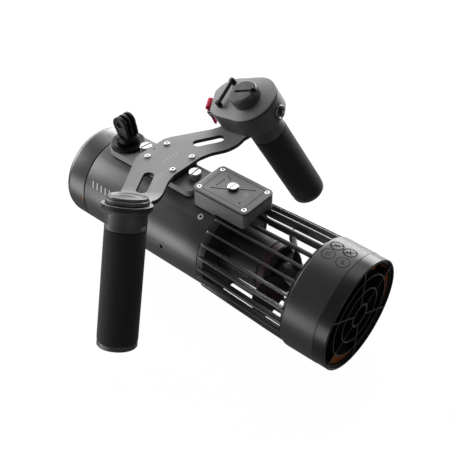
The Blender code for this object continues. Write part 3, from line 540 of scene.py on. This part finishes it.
def drive():
    """The motor pod and what turns behind it, and materials for what is inside."""
    turned("pod_shell", [
        (POD_R, 144.1, 0.3), (POD_R, 134), (26.2, 133.8), (26.2, 133.2), (POD_R, 133),
        (POD_R, 100.2, 0.8), (25.4, 98.6, 0.3), (8.4, 98.6, 0.3), (8.4, 107.6), (10.6, 107.6),
        (10.6, 101.8), (24.0, 101.8), (24.0, 144.1)], POD_GREY, "hull", ["motor_pod"], closed=True)
    turned("red_collar", [(26.3, 98.2, 0.3), (26.3, 91.6, 0.3), (25.9, 91.2), (12, 91.2), (12, 98.2)],
        DARK_RED, "drive", ["hub_ring"], closed=True)
    hub = turned("prop", [
        (26.0, 90.8, 0.3), (25.8, 90.2, 0.3), (21.5, 87.4, 0.6), (12.2, 87.2, 1.2), (12.0, 67, 0.4),
        (4.3, 67), (4.3, 90.8)], PROP_BLACK, "drive", ["propeller"], closed=True, sides=96)
    carve(hub, *[tool(blade(k), HULL) for k in range(BLADE_COUNT)], operation="UNION", smooth=40)
    turned("tail_dome", [
        (11.8, 66.7, 0.3), (11.4, 62, 3), (9, 58, 3), (5, 55.4, 3), (0, 54.6), (0, 58.2), (4.3, 58.2),
        (4.3, 66.7)], POD_GREY, "drive", ["tail_cone"], sides=72, closed=True)
    for node, look in (("drive_shaft", STEEL), ("motor_rotor", STEEL_DARK), ("motor_stator", COPPER),
                       ("rear_bearing", STEEL), ("front_bearing", STEEL), ("shaft_seal", SEAL),
                       ("rear_bulkhead", POD_GREY), ("battery_pack", WRAP)):
        NODES[node].data.materials[0] = look


def blade(k):
    """One blade: a loft of lens sections that starts inside the boss, swept and raked towards its tip."""
    stations = [(10, 15, 4.2), (14, 18.5, 4.0), (18, 21, 3.8), (22, 23.8, 3.5), (26, 26, 3.2),
                (30, 27.8, 2.85), (34, 29, 2.55), (38, 28.6, 2.25), (41, 27, 2.05), (43.5, 23.5, 1.85),
                (45.5, 18, 1.65), (46.8, 10.5, 1.4)]
    shape = bmesh.new()
    rings = []
    count = 20
    for radius, chord, thick in stations:
        pitch = math.atan2(150.0, math.tau * radius)
        out = max(radius - 12, 0) / 35
        bearing = math.tau * k / BLADE_COUNT + math.radians(40 - 35 * out)
        turn = Matrix.Translation((0, 8.0 * out, 0)) @ Matrix.Rotation(bearing, 4, "Y")
        ring = []
        for i in range(count):
            a = math.tau * i / count
            x, y = -0.5 * math.cos(a) * chord, 0.5 * math.sin(a) * thick * (0.75 + 0.25 * math.cos(a))
            across = x * math.cos(pitch) - y * math.sin(pitch)
            forward = 76 + x * math.sin(pitch) + y * math.cos(pitch)
            ring.append(shape.verts.new(turn @ Vector((across, forward, radius))))
        rings.append(ring)
    for a, b in zip(rings, rings[1:]):
        for i in range(count):
            j = (i + 1) % count
            shape.faces.new((a[i], a[j], b[j], b[i]))
    shape.faces.new(rings[0])
    shape.faces.new(rings[-1])
    bmesh.ops.recalc_face_normals(shape, faces=shape.faces)
    return shape


def cage():
    """Two rings joined by thin lengthwise slats."""
    turned("cage_ring", pipe_profile(TUBE_R, TUBE_BORE, 143.8, 151.9, 0.4), POD_GREY, "hull", closed=True)
    outline = [(47.6, 49.4), (47.6, 55.3), (68, 54.9), (106, 53.6), (144, 52.2), (148.6, 51.9),
               (150.6, 51.2), (151.5, 50.2), (151.2, 49.2), (149, 48.6), (144, 48.4), (140, 46.6),
               (106, 47.8), (68, 49.0)]
    shape = bmesh.new()
    for k in range(SLAT_COUNT):
        turn = Matrix.Rotation(math.tau * k / SLAT_COUNT + math.radians(SLAT_TURN), 4, "Y")
        left, right = ([shape.verts.new(turn @ Vector((x, y, r))) for y, r in outline] for x in (-1, 1))
        count = len(outline)
        for i in range(count):
            j = (i + 1) % count
            shape.faces.new((left[i], left[j], right[j], right[i]))
        shape.faces.new(left[::-1])
        shape.faces.new(right)
    bmesh.ops.recalc_face_normals(shape, faces=shape.faces)
    put("cage_slats", shape, CAGE_BLACK, "hull", HULL, ["guard_cage"], bevel=0.35)
    turned("cage_rear_ring", pipe_profile(53.0, 49.9, 42.8, 50, 0.4), CAGE_BLACK, "hull", closed=True)


def nozzle():
    """The nozzle ring, the orange duct wall in it and the outlet grille."""
    shell = turned("nozzle_shell", [
        (54.4, 47.3, 0.5), (55.9, 46.8, 0.8), (56.5, 45, 3), (56.15, 13.0, 0.2), (55.8, 12.4, 0.2),
        (55.8, 0.6, 0.5), (55.3, 0, 0.3), (54.1, 0, 0.2), (53.9, 0.3), (53.9, 2.3), (51.9, 2.3),
        (51.9, 42.4), (53.4, 42.4), (53.4, 47.3, 0.3)], NOZZLE_GREY, "hull", ["nozzle_ring"], sides=192,
        closed=True)
    # The rear 12.5 mm are painted darker as the shaded lip.
    stain(shell, lambda face: face.center.z < 12.5 * MM, GLOSS_SHADED)
    lining = turned("duct_lining", pipe_profile(51.6, 50.0, 2.9, 42.2, 0.3), ORANGE, "hull",
        ["duct_liner"], closed=True)
    # The liner's rear 9 mm are painted black as shade inside the nozzle's lip.
    stain(lining, lambda face: face.center.z < 9 * MM, INK_AND_SHADE)
    symbols()
    grille = turned("grille", pipe_profile(28.1, 26.9, 0.6, 12, 0.25), CAGE_BLACK, "hull",
        ["outlet_grille"], closed=True)
    rings = ((41.6, 40.4, 0.6, 12), (12.3, 10.2, 0.5, 14))
    pieces = [tool(revolve(pipe_profile(*ring, 0.25), 96, True), AXIS) for ring in rings]
    for k in range(6):
        bearing = Matrix.Rotation(math.pi * k / 3, 4, "Y")
        for low, high in (((-0.7, 0.7, 11.0), (0.7, 12.4, 49.6)), ((-0.9, 0.8, 48.8), (0.9, 2.0, 53.5))):
            pieces.append(put("spoke", brick(low, high, bearing), None, None, HULL, smooth=0, bevel=0.2))
    pieces.append(tool(revolve(rod_profile(10.9, 9, 11, 0), 48), AXIS))
    carve(grille, *pieces, operation="UNION", smooth=40)
    # Faces that do not face along the axis are painted black as shade in the grille's webs.
    stain(grille, lambda face: abs(face.normal.z) < 0.5, INK_AND_SHADE)


def symbols():
    """Four plain ringed marks engraved on the nozzle, each a different simple glyph."""
    def surface(y):
        return 56.2 + 0.35 * (y - 13) / 32

    middle = 56.3
    unit = math.degrees(1 / middle)
    glyphs = (((-3.9, -3.9, 3.9, 3.9), (-1.4, 2.8, 1.6, -0.6), (-2.6, 0.4, 0.2, -2.6)),
              ((-3.9, -3.9, 3.9, 3.9), (-2.8, 1.6, 2.4, -2.0), (0.4, 3.0, 2.8, 0.8)),
              ((-2.6, -2.4, -0.2, 2.6), (0.4, -2.6, 2.6, 2.2)),
              ((-2.8, 0, 2.8, 0), (-1.8, 2.4, 1.8, -2.4)))
    spots = ((INK_AND_SHADE, 1.25, 37.5, 80), (INK_AND_SHADE, 1.25, 24.0, 80), (SOFT_INK, 0.8, 37.5, 94),
             (SOFT_INK, 0.8, 22.0, 95))
    for number, (glyph, (look, width, y, angle)) in enumerate(zip(glyphs, spots)):
        strokes = [(circle_on(angle, y, 6.0, middle), True)]
        for a, b, c, d in glyph:
            strokes.append(([(angle + a * unit, y + b), (angle + c * unit, y + d)], False))
        put(f"nozzle_mark_{number + 1}", ribbon(strokes, surface, width), look, "hull", HULL, smooth=0)


# ---------------------------------------------------------------- deck

def hull_tool(radius, low, high):
    """A rod along the hull's axis, which cuts a saddle under a deck piece."""
    return tool(revolve(rod_profile(radius, low, high, 0), 128), AXIS)


def knurl(teeth, depth, low, high):
    """The radius of a knurled band between two heights."""
    def wobble(a, r, h):
        if not low <= h <= high:
            return r
        return r - depth * (0.5 + 0.5 * math.cos(a * teeth))
    return wobble


def rail_outline(inset=0.0):
    """The rail from above: round at the nose end, with small corners at the rear."""
    half = 19.0 - inset
    corner = 6 - inset
    rear = 186 + inset + corner
    return (arc(0, RAIL_NOSE, half, 0, 180, 49) + arc(-half + corner, rear, corner, 180, 270, 9)
            + arc(half - corner, rear, corner, 270, 360, 9))


def rail():
    """The saddle, over a narrower black foot that is painted shadow: the dark line between the rail and
    the tube.
    """
    # A black sheet under the rail's edges, painted as the shadow between rail and tube.
    shadow_foot = put("rail_shadow_foot", slab([rail_outline(0.4)], 38, 50.5), INK_AND_SHADE, "hull", HULL)
    carve(shadow_foot, hull_tool(50.3, 170, 330))
    piece = put("rail", slab([rail_outline()], 48.9, 55.5), RAIL_GREY_LIT, "hull", HULL, ["top_rail"],
        bevel=0.4, steps=3)
    holes = [tool(revolve(rod_profile(3.3, 51.6, 60), 32), HULL @ at(0, y, 0)) for _, y, _ in RAIL_SCREWS]
    carve(piece, hull_tool(51.0, 170, 330), *holes, smooth=14)
    for name, y, lean in RAIL_SCREWS:
        spot = HULL @ at(0, y, 0)
        screw = turned(f"rail_knob_{name}", [
            (0, 65.3), (5.6, 65.3, 0.3), (6.2, 64.6, 0.2), (6.2, 64.2), (6.2, 60.2), (6.2, 59),
            (5.2, 58.2), (5.2, 55.8), (3, 55.8), (3, 52), (0, 52)], STEEL, f"rail_screw_{name}",
            [f"rail_screw_{name}"], spot, 144, wobble=knurl(36, 0.35, 60, 64.3))
        slot = brick((-8, -0.9, 63.6), (8, 0.9, 67), Matrix.Rotation(math.radians(lean), 4, "Z"))
        carve(screw, tool(slot, spot))
        stain(screw, lambda face: face.center.z < 64.3 * MM, KNURLED)


def hex_head(name, node, spot, profile, socket, depth_from, depth_to, look=STEEL):
    """A bright screw head with a hexagonal socket whose inside is painted dark as shade."""
    screw = turned(name, profile, look, "hull", [node], spot, 40)
    carve(screw, tool(revolve(rod_profile(socket, depth_from, depth_to, 0), 6), spot))
    rim = max(vert.co.z for vert in screw.data.vertices) - 0.2 * MM

    def socket_shade(face):
        return face.center.z < rim and math.hypot(*face.center.xy) < (socket + 0.05) * MM

    # The socket's inside is painted black as shade.
    stain(screw, socket_shade, INK_AND_SHADE)


def stain(obj, chosen, look):
    """Give the chosen faces another material."""
    obj.data.materials.append(look)
    for face in obj.data.polygons:
        if chosen(face):
            face.material_index = len(obj.data.materials) - 1


def arm_end():
    """How the arm bends up to the grip: tilt, direction, the bend's start and the end on the flat."""
    up = -GRIP_DOWN
    tilt = math.acos(up.z)
    out = -Vector((up.x, up.y)) / math.sin(tilt)
    edge = Vector((-out.y, out.x))
    centre = GRIP_AT + up * (ARM_TOP - PLATE_T / 2)
    rise = centre.z - (PLATE_TOP - PLATE_T / 2)
    straight = (rise - BEND_R * (1 - math.cos(tilt))) / math.sin(tilt)
    flat = Vector((centre.x, centre.y))
    start = flat.dot(out) - BEND_R * math.sin(tilt) - straight * math.cos(tilt)
    return tilt, out, start, out * (start + BEND_R * tilt + straight) + edge * flat.dot(edge)


def bend_arm(shape, side, tilt, out, start):
    """Bend one arm of the flat plate up round the start line."""
    out = Vector((side * out.x, out.y, 0))
    middle = PLATE_TOP - PLATE_T / 2
    for i in range(25):
        bmesh.ops.bisect_plane(shape, geom=shape.verts[:] + shape.edges[:] + shape.faces[:], dist=1e-5,
            plane_co=out * (start + BEND_R * tilt * i / 24), plane_no=out)
    for vert in shape.verts:
        past = vert.co.dot(out) - start
        if past <= 1e-4:
            continue
        turn = min(past / BEND_R, tilt)
        over = max(past - BEND_R * tilt, 0)
        height = vert.co.z - middle
        vert.co += out * ((BEND_R - height) * math.sin(turn) + over * math.cos(tilt) - past)
        vert.co.z = middle + BEND_R - (BEND_R - height) * math.cos(turn) + over * math.sin(tilt)


def bracket():
    """The V plate with bent arms, the block under it and its four bolts."""
    tilt, out, start, end = arm_end()
    nose_side = [(17, 255), (20.6, 254.2), (24, 252.9), (27.2, 251.2), (30, 249.3)]
    tail_side = [(66, 188.6), (62.8, 188.9), (60, 189.4), (56.5, 190.2), (52.2, 191.9), (48.6, 193.3),
                 (45.1, 194.9), (39.1, 198.1), (36, 199.9), (33, 201.5), (30.2, 202.8), (26, 204.0),
                 (18, 206.0)]
    right = nose_side + arc(end.x, end.y, ARM_END_R, 98.6, -162, 66) + tail_side
    outlines = [right + [(-x, y) for x, y in reversed(right)]]
    for side in (1, -1):
        outlines.append(obround((side * 35.2, 223.7), (side * 55.0, 212.7), 5.5))
        outlines.append(arc(side * end.x, end.y, 8.3, 0, 352.5, 48))
    outlines.append(arc(0, 250.6, 0.9, 0, 330, 12))
    spots = [(sx * 13.7, 229.2 + sy * 17.05) for sx in (-1, 1) for sy in (-1, 1)]
    outlines += [arc(x, y, 1.9, 0, 345, 24) for x, y in spots]
    shape = slab(outlines, PLATE_TOP - PLATE_T, PLATE_TOP)
    for side in (1, -1):
        bend_arm(shape, side, tilt, out, start)
    plate = put("bracket", shape, PLATE_GREY_LIT, "hull", HULL, ["bracket_plate"], bevel=0.3, steps=2,
        smooth=12)
    # The plate's upright side faces are painted dark as shade.
    stain(plate, lambda face: abs(face.normal.z) < 0.55, EDGE_SHADE)
    block = put("bracket_spacer", slab([rounded_box(18.5, 208.6, 250.4, 3)], 55.8, 62.4), MOULDED, "hull",
        HULL, ["bracket_block"], bevel=0.3)
    bores = [tool(revolve(rod_profile(1.9, 57.4, 70, 0), 24), HULL @ at(x, y, 0)) for x, y in spots]
    carve(block, *bores)
    for i, (x, y) in enumerate(spots):
        hex_head(f"plate_bolt_{i + 1}", f"bracket_bolt_{i + 1}", HULL @ at(x, y, 0), [
            (0, 68.3), (2.5, 68.3, 0.4), (3.1, 67.8, 0.3), (3.1, 67.0), (1.6, 67.0), (1.6, 57.8),
            (0, 57.8)], 1.2, 67.3, 72, BOLT_STEEL)


def strip(a, b, width, z):
    """A short flat stroke on a level face."""
    a, b = Vector(a), Vector(b)
    side = (b - a).normalized()
    side = Vector((-side.y, side.x)) * width / 2
    return slab([[tuple(a + side), tuple(a - side), tuple(b - side), tuple(b + side)]], z - 0.2, z)


def control_box():
    """The box astride the hull, its printed lid, four lid screws and the knurled knob."""
    outline = rounded_box(BOX_HALF, BOX_REAR, BOX_FRONT, BOX_CORNER)
    # A black sheet under the box's edges: painted shadow between the box and the tube.
    shadow_foot = put("box_shadow_foot", slab([rounded_box(21.4, 153, 179.9, 4.7)], 36, 50), INK_AND_SHADE, "hull", HULL)
    carve(shadow_foot, hull_tool(50.3, 140, 200), tool(slab([rounded_box(19.3, 140, 178, 3)], 20, 60), HULL))
    box = put("box_body", slab([outline], 36, 64.7), DECK_GREY, "hull", HULL, ["control_box"], bevel=0.3)
    inside = [(19.1, 128.1), (19.1, 168.1), (9.6, 177.6), (-9.6, 177.6), (-19.1, 168.1), (-19.1, 128.1),
              (-9.6, 118.6), (9.6, 118.6)]
    pocket = slab([inside], 56, 80)
    holes = [(sx * 16.7, BOX_MIDDLE + sy * 26.8) for sx in (-1, 1) for sy in (-1, 1)]
    sink = [(0, 70), (3.1, 70), (3.1, 67.4), (1.6, 66.1), (1.6, 60), (0, 60)]
    carve(box, hull_tool(52.4, 152.6, 200), hull_tool(53.9, 100, 152.6), tool(pocket, HULL),
        *[tool(revolve(sink, 24), HULL @ at(x, y, 0)) for x, y in holes])

    def lid_outline(inset):
        return rounded_box(BOX_HALF - inset, BOX_REAR + inset, BOX_FRONT - inset, BOX_CORNER - inset)

    steps = [(0.5, 65.8), (0.1, 66.0), (0, 66.2), (0, 67.8), (0.1, 68.0), (0.35, 68.1)]
    lid = put("box_cover", layers(lid_outline, steps), LID_GREY_LIT, "hull", HULL, ["box_lid"], smooth=25)
    carve(lid, tool(revolve(rod_profile(2.4, 60, 72, 0), 32), HULL @ at(0, BOX_MIDDLE, 0)),
        *[tool(revolve(sink, 32), HULL @ at(x, y, 0)) for x, y in holes])
    for i, (x, y) in enumerate(holes):
        hex_head(f"cover_screw_{i + 1}", f"lid_screw_{i + 1}", HULL @ at(x, y, 0), [
            (0, 68.12), (2.75, 68.12, 0.25), (2.75, 67.5), (1.3, 66.3), (1.3, 60.4), (0, 60.4)], 1.2,
            67.0, 72)
    knob = turned("power_dial", [
        (0, 72), (4.9, 72, 0.3), (5.4, 71.5, 0.2), (5.4, 71.2), (5.4, 68.9), (4.9, 68.4), (2.1, 68.4),
        (2.1, 60), (0, 60)], STEEL, "power_knob", ["power_knob"], HULL @ at(0, BOX_MIDDLE, 0), 120,
        wobble=knurl(30, 0.25, 68.8, 71.3))
    carve(knob, tool(brick((-7, -0.5, 71.4), (7, 0.5, 73)), HULL @ at(0, BOX_MIDDLE, 0)))
    stain(knob, lambda face: face.center.z < 71.2 * MM, STEEL_DARK)
    border = [rounded_box(17.6, 123.0, 173.3, 2.5), rounded_box(17.1, 123.5, 172.8, 2.2)]
    put("panel_border", slab(border, 67.9, 68.13), INK_AND_SHADE, "hull", HULL, smooth=0)
    lines = (((-12.0, 166.1), (-4.2, 152.6), 1.2), ((3.1, 143.4), (11.5, 130.5), 1.2),
             ((12.9, 165.4), (8.4, 158.2), 0.7))
    for i, (a, b, width) in enumerate(lines):
        put(f"panel_line_{i + 1}", strip(a, b, width, LID_PRINT[1]), INK_AND_SHADE, "hull", HULL, smooth=0)
    for i in range(4):
        spot = slab([arc(-5.1 + 3.45 * i, 163.8, 0.95, 0, 330, 12)], *LID_PRINT)
        put(f"panel_light_{i + 1}", spot, INK_AND_SHADE, "hull", HULL, smooth=0)
    for i in range(3):
        mark = strip((-2.4 + 2.0 * i, 131.2), (-1.2 + 2.0 * i, 136.4), 0.9, LID_PRINT[1])
        put(f"panel_dash_{i + 1}", mark, FAINT, "hull", HULL, smooth=0)
    put("panel_dot", slab([arc(-12.0, 130.6, 1.0, 0, 330, 12)], *LID_PRINT), INK_AND_SHADE, "hull", HULL, smooth=0)
    NODES["lid_gasket"].data.materials[0] = SEAL
    NODES["controller_board"].data.materials[0] = BOARD


def camera_mount():
    """A round base and a head of three prongs."""
    spot = HULL @ at(0, RAIL_NOSE, 0)
    turned("camera_base", [
        (0, 60), (12.5, 60), (12.7, 59.6), (16.2, 59.9, 0.6), (17.9, 58.8, 0.8), (17.9, 55.8, 0.3),
        (0, 55.8)], MOUNT_BLACK, "hull", ["mount_base"], spot, 96)
    head = turned("camera_prongs", [
        (0, 68.5), (9.8, 68.5, 0.8), (11.0, 67.4, 0.8), (11.5, 63.0, 0.8), (11.5, 60.3, 0.3), (0, 60.3)],
        MOUNT_BLACK, "mount_prongs", ["mount_prongs"], spot, 72)
    side = ([(-8.2, 66), (-7.6, 72), (-6, 79.5)] + arc(3, 80.3, 8.6, 186, -8, 29)
            + [(9.6, 74.1), (6.6, 69.4), (6.3, 66)])
    upright = Matrix.Rotation(math.pi / 2, 4, "Z") @ Matrix.Rotation(math.pi / 2, 4, "X")
    prongs = [put("prong", slab([side, arc(3.3, 80.1, 2.6, 0, 345, 24)], x - 1.55, x + 1.55), None, None,
        spot @ upright, smooth=0, bevel=0.3) for x in (-6.2, 0, 6.2)]
    carve(head, *prongs, operation="UNION", smooth=40)


# ---------------------------------------------------------------- grips

def grip(side, matrix):
    """Collar, foam sleeve and end cap of the grip on one side."""
    tag = "right" if side > 0 else "left"
    collar = [(21, 24.2, 0.3), (21, 22.4, 0.5), (19.6, 21.8, 0.5), (18.9, 21.0, 0.6)]
    for h in (10.6, 9.2, 7.8):
        collar += [(18.9, h + 0.3), (18.68, h), (18.9, h - 0.3)]
    collar += [(18.9, 6.0, 0.4), (12.3, 6.0), (12.3, 24.2)]
    turned(f"collar_{tag}", collar, COLLAR_GREY, "hull", [f"grip_collar_{tag}"], matrix, 128, True)
    foam = [(15.2, 5.7), (18.3, 5.7, 0.6), (18.75, 4.6, 1.0)]
    foam += [(18.9, 2.0 - 3.3 * i) for i in range(30)]
    foam += [(18.7, -96.4, 1.0), (18.2, -97.5, 0.6), (15.2, -97.5)]
    sleeve = turned(f"foam_sleeve_{tag}", foam, FOAM, "hull", [f"grip_foam_{tag}"], matrix, 128, True)
    turned(f"end_cap_{tag}", [
        (0, -88.5), (8, -88.5), (8, -97.8), (18.6, -97.8, 0.4), (18.6, -101.6, 1.0), (17.2, -103.3, 1.4),
        (14.5, -103.3), (14.3, -102.9), (0, -102.9)], COLLAR_GREY, "hull", [f"grip_end_{tag}"], matrix,
        96)
    NODES[f"grip_core_{tag}"].data.materials[0] = POD_GREY


def left_cap():
    """The dished cap on top of the left grip."""
    cap = turned("cap_left", [
        (0, 33.7), (7.6, 33.7), (7.8, 34.1), (13.2, 34.2, 1.0), (15.0, 35.2, 0.8), (16.6, 35.8, 0.8),
        (18.0, 35.3, 0.6), (18.4, 33.4, 0.3), (18.5, 32.9, 0.2), (19.5, 32.3, 0.4), (19.7, 31.4, 0.3),
        (19.7, 29.5, 0.4), (19.2, 28.8), (8, 28.8), (8, 0), (0, 0)], COLLAR_GREY, "hull",
        ["grip_cap_left"], LEFT, 128)

    # The cap's lower rim and its inner step are painted black as shade.
    def shaded_groove(face):
        z, inner = face.center.z, math.hypot(*face.center.xy) < 18.9 * MM
        return 28.7 * MM < z < 30.2 * MM or (inner and 32.2 * MM < z < 33.5 * MM)

    stain(cap, shaded_groove, INK_AND_SHADE)


def arm_clearance(matrix):
    """The space that the bracket's arm takes in the head."""
    tilt, out, start, end = arm_end()
    edge = Vector((-out.y, out.x))
    corners = [end + out * a + edge * b for a, b in ((-12, -45), (-12, 45), (-60, 45), (-60, -45))]
    shape = slab([[tuple(c) for c in corners]], PLATE_TOP - PLATE_T - 1, PLATE_TOP + 0.25)
    bend_arm(shape, 1, tilt, out, start)
    return tool(shape, matrix)


def notch_wall(face):
    """Faces inside the dial's slot, which are painted dark as shade: upright or level ones well inside
    its rim and below its top.
    """
    return math.hypot(*face.center.xy) < 13.8 * MM and 62 * MM < face.center.z < 65.9 * MM


def head():
    """The control head: shell, lid, dial, trigger, thumb button and lanyard bar."""
    steps = [(1.2, 28.8), (0.4, 29.2), (0, 30.2), (0, 50.2), (0.3, 50.5)]
    shell = put("head_shell", layers(head_outline, steps), HEAD_GREY, "hull", RIGHT, ["head_housing"])
    lugs = [put("lug", brick((20, y, 41), (29.5, y + 2.5, 48)), None, None, TRIGGER, smooth=0, bevel=0.5)
        for y in (6.5, -9.0)]
    stem = tool(revolve(rod_profile(8, 0, 30), 32), RIGHT)
    carve(shell, stem, *lugs, operation="UNION")
    hollow = tool(slab([head_outline(2.5)], 31.8, 80), RIGHT)
    pin = TRIGGER @ at(TRIGGER_PIN[0], 0, TRIGGER_PIN[1]) @ along((0, 1, 0))
    turn = math.radians(BUTTON_TURN)
    button = RIGHT @ at(HEAD_REAR[0], HEAD_REAR[1], BUTTON_H) @ along((math.cos(turn), math.sin(turn), 0))
    carve(shell, arm_clearance(HULL), hollow, tool(revolve(rod_profile(1.3, -12, 12), 16), pin),
        tool(revolve([(0, 40), (7.4, 40), (7.4, 26.9), (4.6, 26.9), (4.6, 20), (0, 20)], 48), button))
    steps = [(1.6, 51.0), (1.6, 51.8), (0.2, 51.9), (0, 52.2), (0, 53.5), (0.2, 53.8), (0.6, 54)]
    lid = put("head_cover", layers(head_outline, steps), LID_GREY_LIT, "hull", RIGHT, ["head_lid"], smooth=22)
    put("head_seam", layers(head_outline, [(0.7, 50.3), (0.7, 52.1)]), INK_AND_SHADE, "hull", RIGHT, smooth=0)
    carve(lid, tool(revolve(rod_profile(3.3, 40, 60), 32), RIGHT))
    dial = turned("speed_knob", [
        (0, 66), (12.4, 66, 0.3), (14.2, 65.2, 0.5), (14.8, 63.8, 0.6), (14.8, 54.3, 0.3), (3, 54.3),
        (3, 44), (0, 44)], HEAD_GREY, "speed_dial", ["speed_dial"], RIGHT, 128)
    lean = Matrix.Rotation(math.radians(-73), 4, "Z")
    cuts = [put("notch", brick(low, high, lean), None, None, RIGHT, smooth=0, bevel=0.2)
            for low, high in (((-9, -1.4, 63.4), (20, 1.4, 70)), ((9.5, -3, 62.4), (20, 3, 70)))]
    carve(dial, *cuts)
    # The slot's inside is painted dark as shade.
    stain(dial, notch_wall, NOTCH_SHADE)
    trigger(pin)
    turned("button_cap", [
        (0, 27.6), (2.2, 27.7, 0.3), (3.3, 28.2, 0.3), (3.9, 27.7, 0.3), (3.9, 24.2), (4.9, 24.2),
        (4.9, 22.6), (0, 22.6)], MOULDED, "thumb_button", ["thumb_button"], button, 48)
    turned("button_rim", [(6.5, 29.6, 0.2), (7.0, 29.2, 0.2), (7.0, 27.2), (4.4, 27.2), (4.4, 27.8),
        (6.1, 29.6, 0.2)], RIM_STEEL, "hull", ["button_bezel"], button, 64, True)
    lanyard()
    NODES["head_board"].data.materials[0] = BOARD
    NODES["trigger_spring"].data.materials[0] = STEEL
    NODES["trigger_pin"].data.materials[0] = STEEL


def trigger(pin):
    """The red lever, with two knuckles on its pin."""
    side = ([(29.8, 45.4), (30.6, 42), (31.2, 36), (32.2, 29), (32.4, 26.6), (31.6, 25.8), (30.0, 26.2),
            (29.2, 30), (28.6, 36), (28.2, 41), (26.2, 44)] + arc(26.9, 50.1, 3.3, 205, -40, 24))
    across = Matrix.Rotation(math.pi / 2, 4, "X")
    lever = put("trigger_lever", slab([side], -6.1, 6.1), RED, "trigger", TRIGGER @ across, ["trigger"],
        bevel=0.5, steps=3)
    knuckles = [tool(revolve(rod_profile(2.8, low, low + 2.7), 32), pin) for low in (-6.1, 3.4)]
    carve(lever, *knuckles, operation="UNION")
    carve(lever, tool(revolve(rod_profile(1.35, -8, 8), 24), pin),
        tool(revolve(rod_profile(3.3, -3.4, 3.4), 32), pin))


def lanyard():
    """A round bar between two square posts."""
    near, reach = Vector((-16.3, 25.6, 0)), Vector((29.2, 4.3, 0))
    low, high = (-2.3, -2.3, 54.3), (2.3, 2.3, 61.2)
    bar = put("lanyard_loop", brick(low, high), MOULDED, "hull", RIGHT @ at(*near), ["lanyard_bar"],
        bevel=0.5, steps=3)
    far = put("post", brick(low, high), None, None, RIGHT @ at(*(near + reach)), smooth=0, bevel=0.5,
        steps=3)
    spot = RIGHT @ at(near.x, near.y, 58.7) @ along(reach)
    rod = tool(revolve(rod_profile(1.9, 0, reach.length), 32), spot)
    carve(bar, far, rod, operation="UNION")


# ---------------------------------------------------------------- plain marks in place of lettering

def marks():
    """A row of slanted bars where such hulls carry a name, and a fainter row on the bracket."""
    strokes = []
    for k in range(6):
        y = 300.0 - 6.0 * k
        strokes.append(([(148.0, y), (156.0, y - 2.2)], False))
    put("hull_bars", ribbon(strokes, lambda y: TUBE_R + 0.04, 1.3), PALE, "hull", HULL, smooth=0)
    strokes = [([(179.5, y), (184.5, y - 1.2)], False) for y in range(110, 143, 4)]
    put("pod_bars", ribbon(strokes, lambda y: POD_R + 0.04, 0.8), FAINT, "hull", HULL, smooth=0)
    for k in range(5):
        x = -9.0 + 4.5 * k
        put(f"bracket_bar_{k + 1}", strip((x - 0.8, 226.2), (x + 0.8, 231.2), 1.1, PLATE_TOP + 0.03),
            FAINT, "hull", HULL, smooth=0)


# ---------------------------------------------------------------- studio

PANELS = (("right_high", (1.0, 0.35, 0.30), 1.4, 0.6, 6.5),
          ("right_low", (0.9, 0.30, -0.40), 1.4, 0.8, 1.2),
          ("front", (0.15, 1.15, 0.35), 1.4, 0.8, 2.4),
          ("front_left", (-0.38, 1.08, 0.45), 0.60, 0.6, 3.6),
          ("left_low", (-1.0, 0.52, -0.22), 1.1, 0.5, 2.8),
          ("top", (0.50, 0.40, 0.95), 0.8, 0.8, 1.7),
          ("rear", (-0.35, -1.1, 0.75), 0.7, 0.7, 0.5))


def studio():
    """A white room that is only a backdrop, and soft panels whose reflections shape the dark metal."""
    size = 6.0
    room = bmesh.new()
    bmesh.ops.create_cube(room, size=2 * size, matrix=Matrix.Translation((0, 0, size - 0.0004)))
    mesh = bpy.data.meshes.new("floor")
    room.to_mesh(mesh)
    room.free()
    floor = bpy.data.objects.new("floor", mesh)
    bpy.context.scene.collection.objects.link(floor)
    made = bpy.data.materials.new("floor")
    made.use_nodes = True
    shader = made.node_tree.nodes["Principled BSDF"]
    shader.inputs["Base Color"].default_value = (0.05, 0.05, 0.05, 1)
    shader.inputs["Roughness"].default_value = 0.9
    shader.inputs["Specular IOR Level"].default_value = 0.0
    shader.inputs["Emission Color"].default_value = (1, 1, 1, 1)
    shader.inputs["Emission Strength"].default_value = 0.98
    mesh.materials.append(made)
    floor.visible_diffuse = floor.visible_glossy = floor.visible_shadow = False
    world = bpy.data.worlds.new("studio")
    bpy.context.scene.world = world
    world.use_nodes = True
    world.node_tree.nodes["Background"].inputs["Color"].default_value = (1, 1, 1, 1)
    world.node_tree.nodes["Background"].inputs["Strength"].default_value = 0.14
    for panel in PANELS:
        soft_light(*panel)


def soft_light(name, where, width, height, glow):
    """A rectangular panel of even glow aimed at the middle of the scooter."""
    light = bpy.data.lights.new(name, "AREA")
    light.shape = "RECTANGLE"
    light.size, light.size_y = width, height
    light.energy = glow * math.pi * width * height
    lamp = bpy.data.objects.new(name, light)
    bpy.context.scene.collection.objects.link(lamp)
    spot = Vector(where)
    aim = Vector((0, 0, 0.09)) - spot
    lamp.matrix_world = Matrix.Translation(spot) @ aim.to_track_quat("-Z", "Y").to_matrix().to_4x4()
    lamp.visible_camera = False


def camera():
    """A view from the left, from behind and above."""
    data = bpy.data.cameras.new("camera")
    data.lens = 61.10
    data.sensor_width = 36.0
    cam = bpy.data.objects.new("camera", data)
    bpy.context.scene.collection.objects.link(cam)
    cam.location = (-0.42640, -0.37739, 0.56434)
    cam.rotation_euler = [math.radians(a) for a in (48.92886, 0.17082, -49.50258)]
    bpy.context.scene.camera = cam
    bpy.context.scene.view_settings.view_transform = "Standard"


camera()
nose()
tube()
drive()
cage()
nozzle()
rail()
bracket()
control_box()
camera_mount()
grip(-1, LEFT)
grip(1, RIGHT)
left_cap()
head()
marks()
studio()
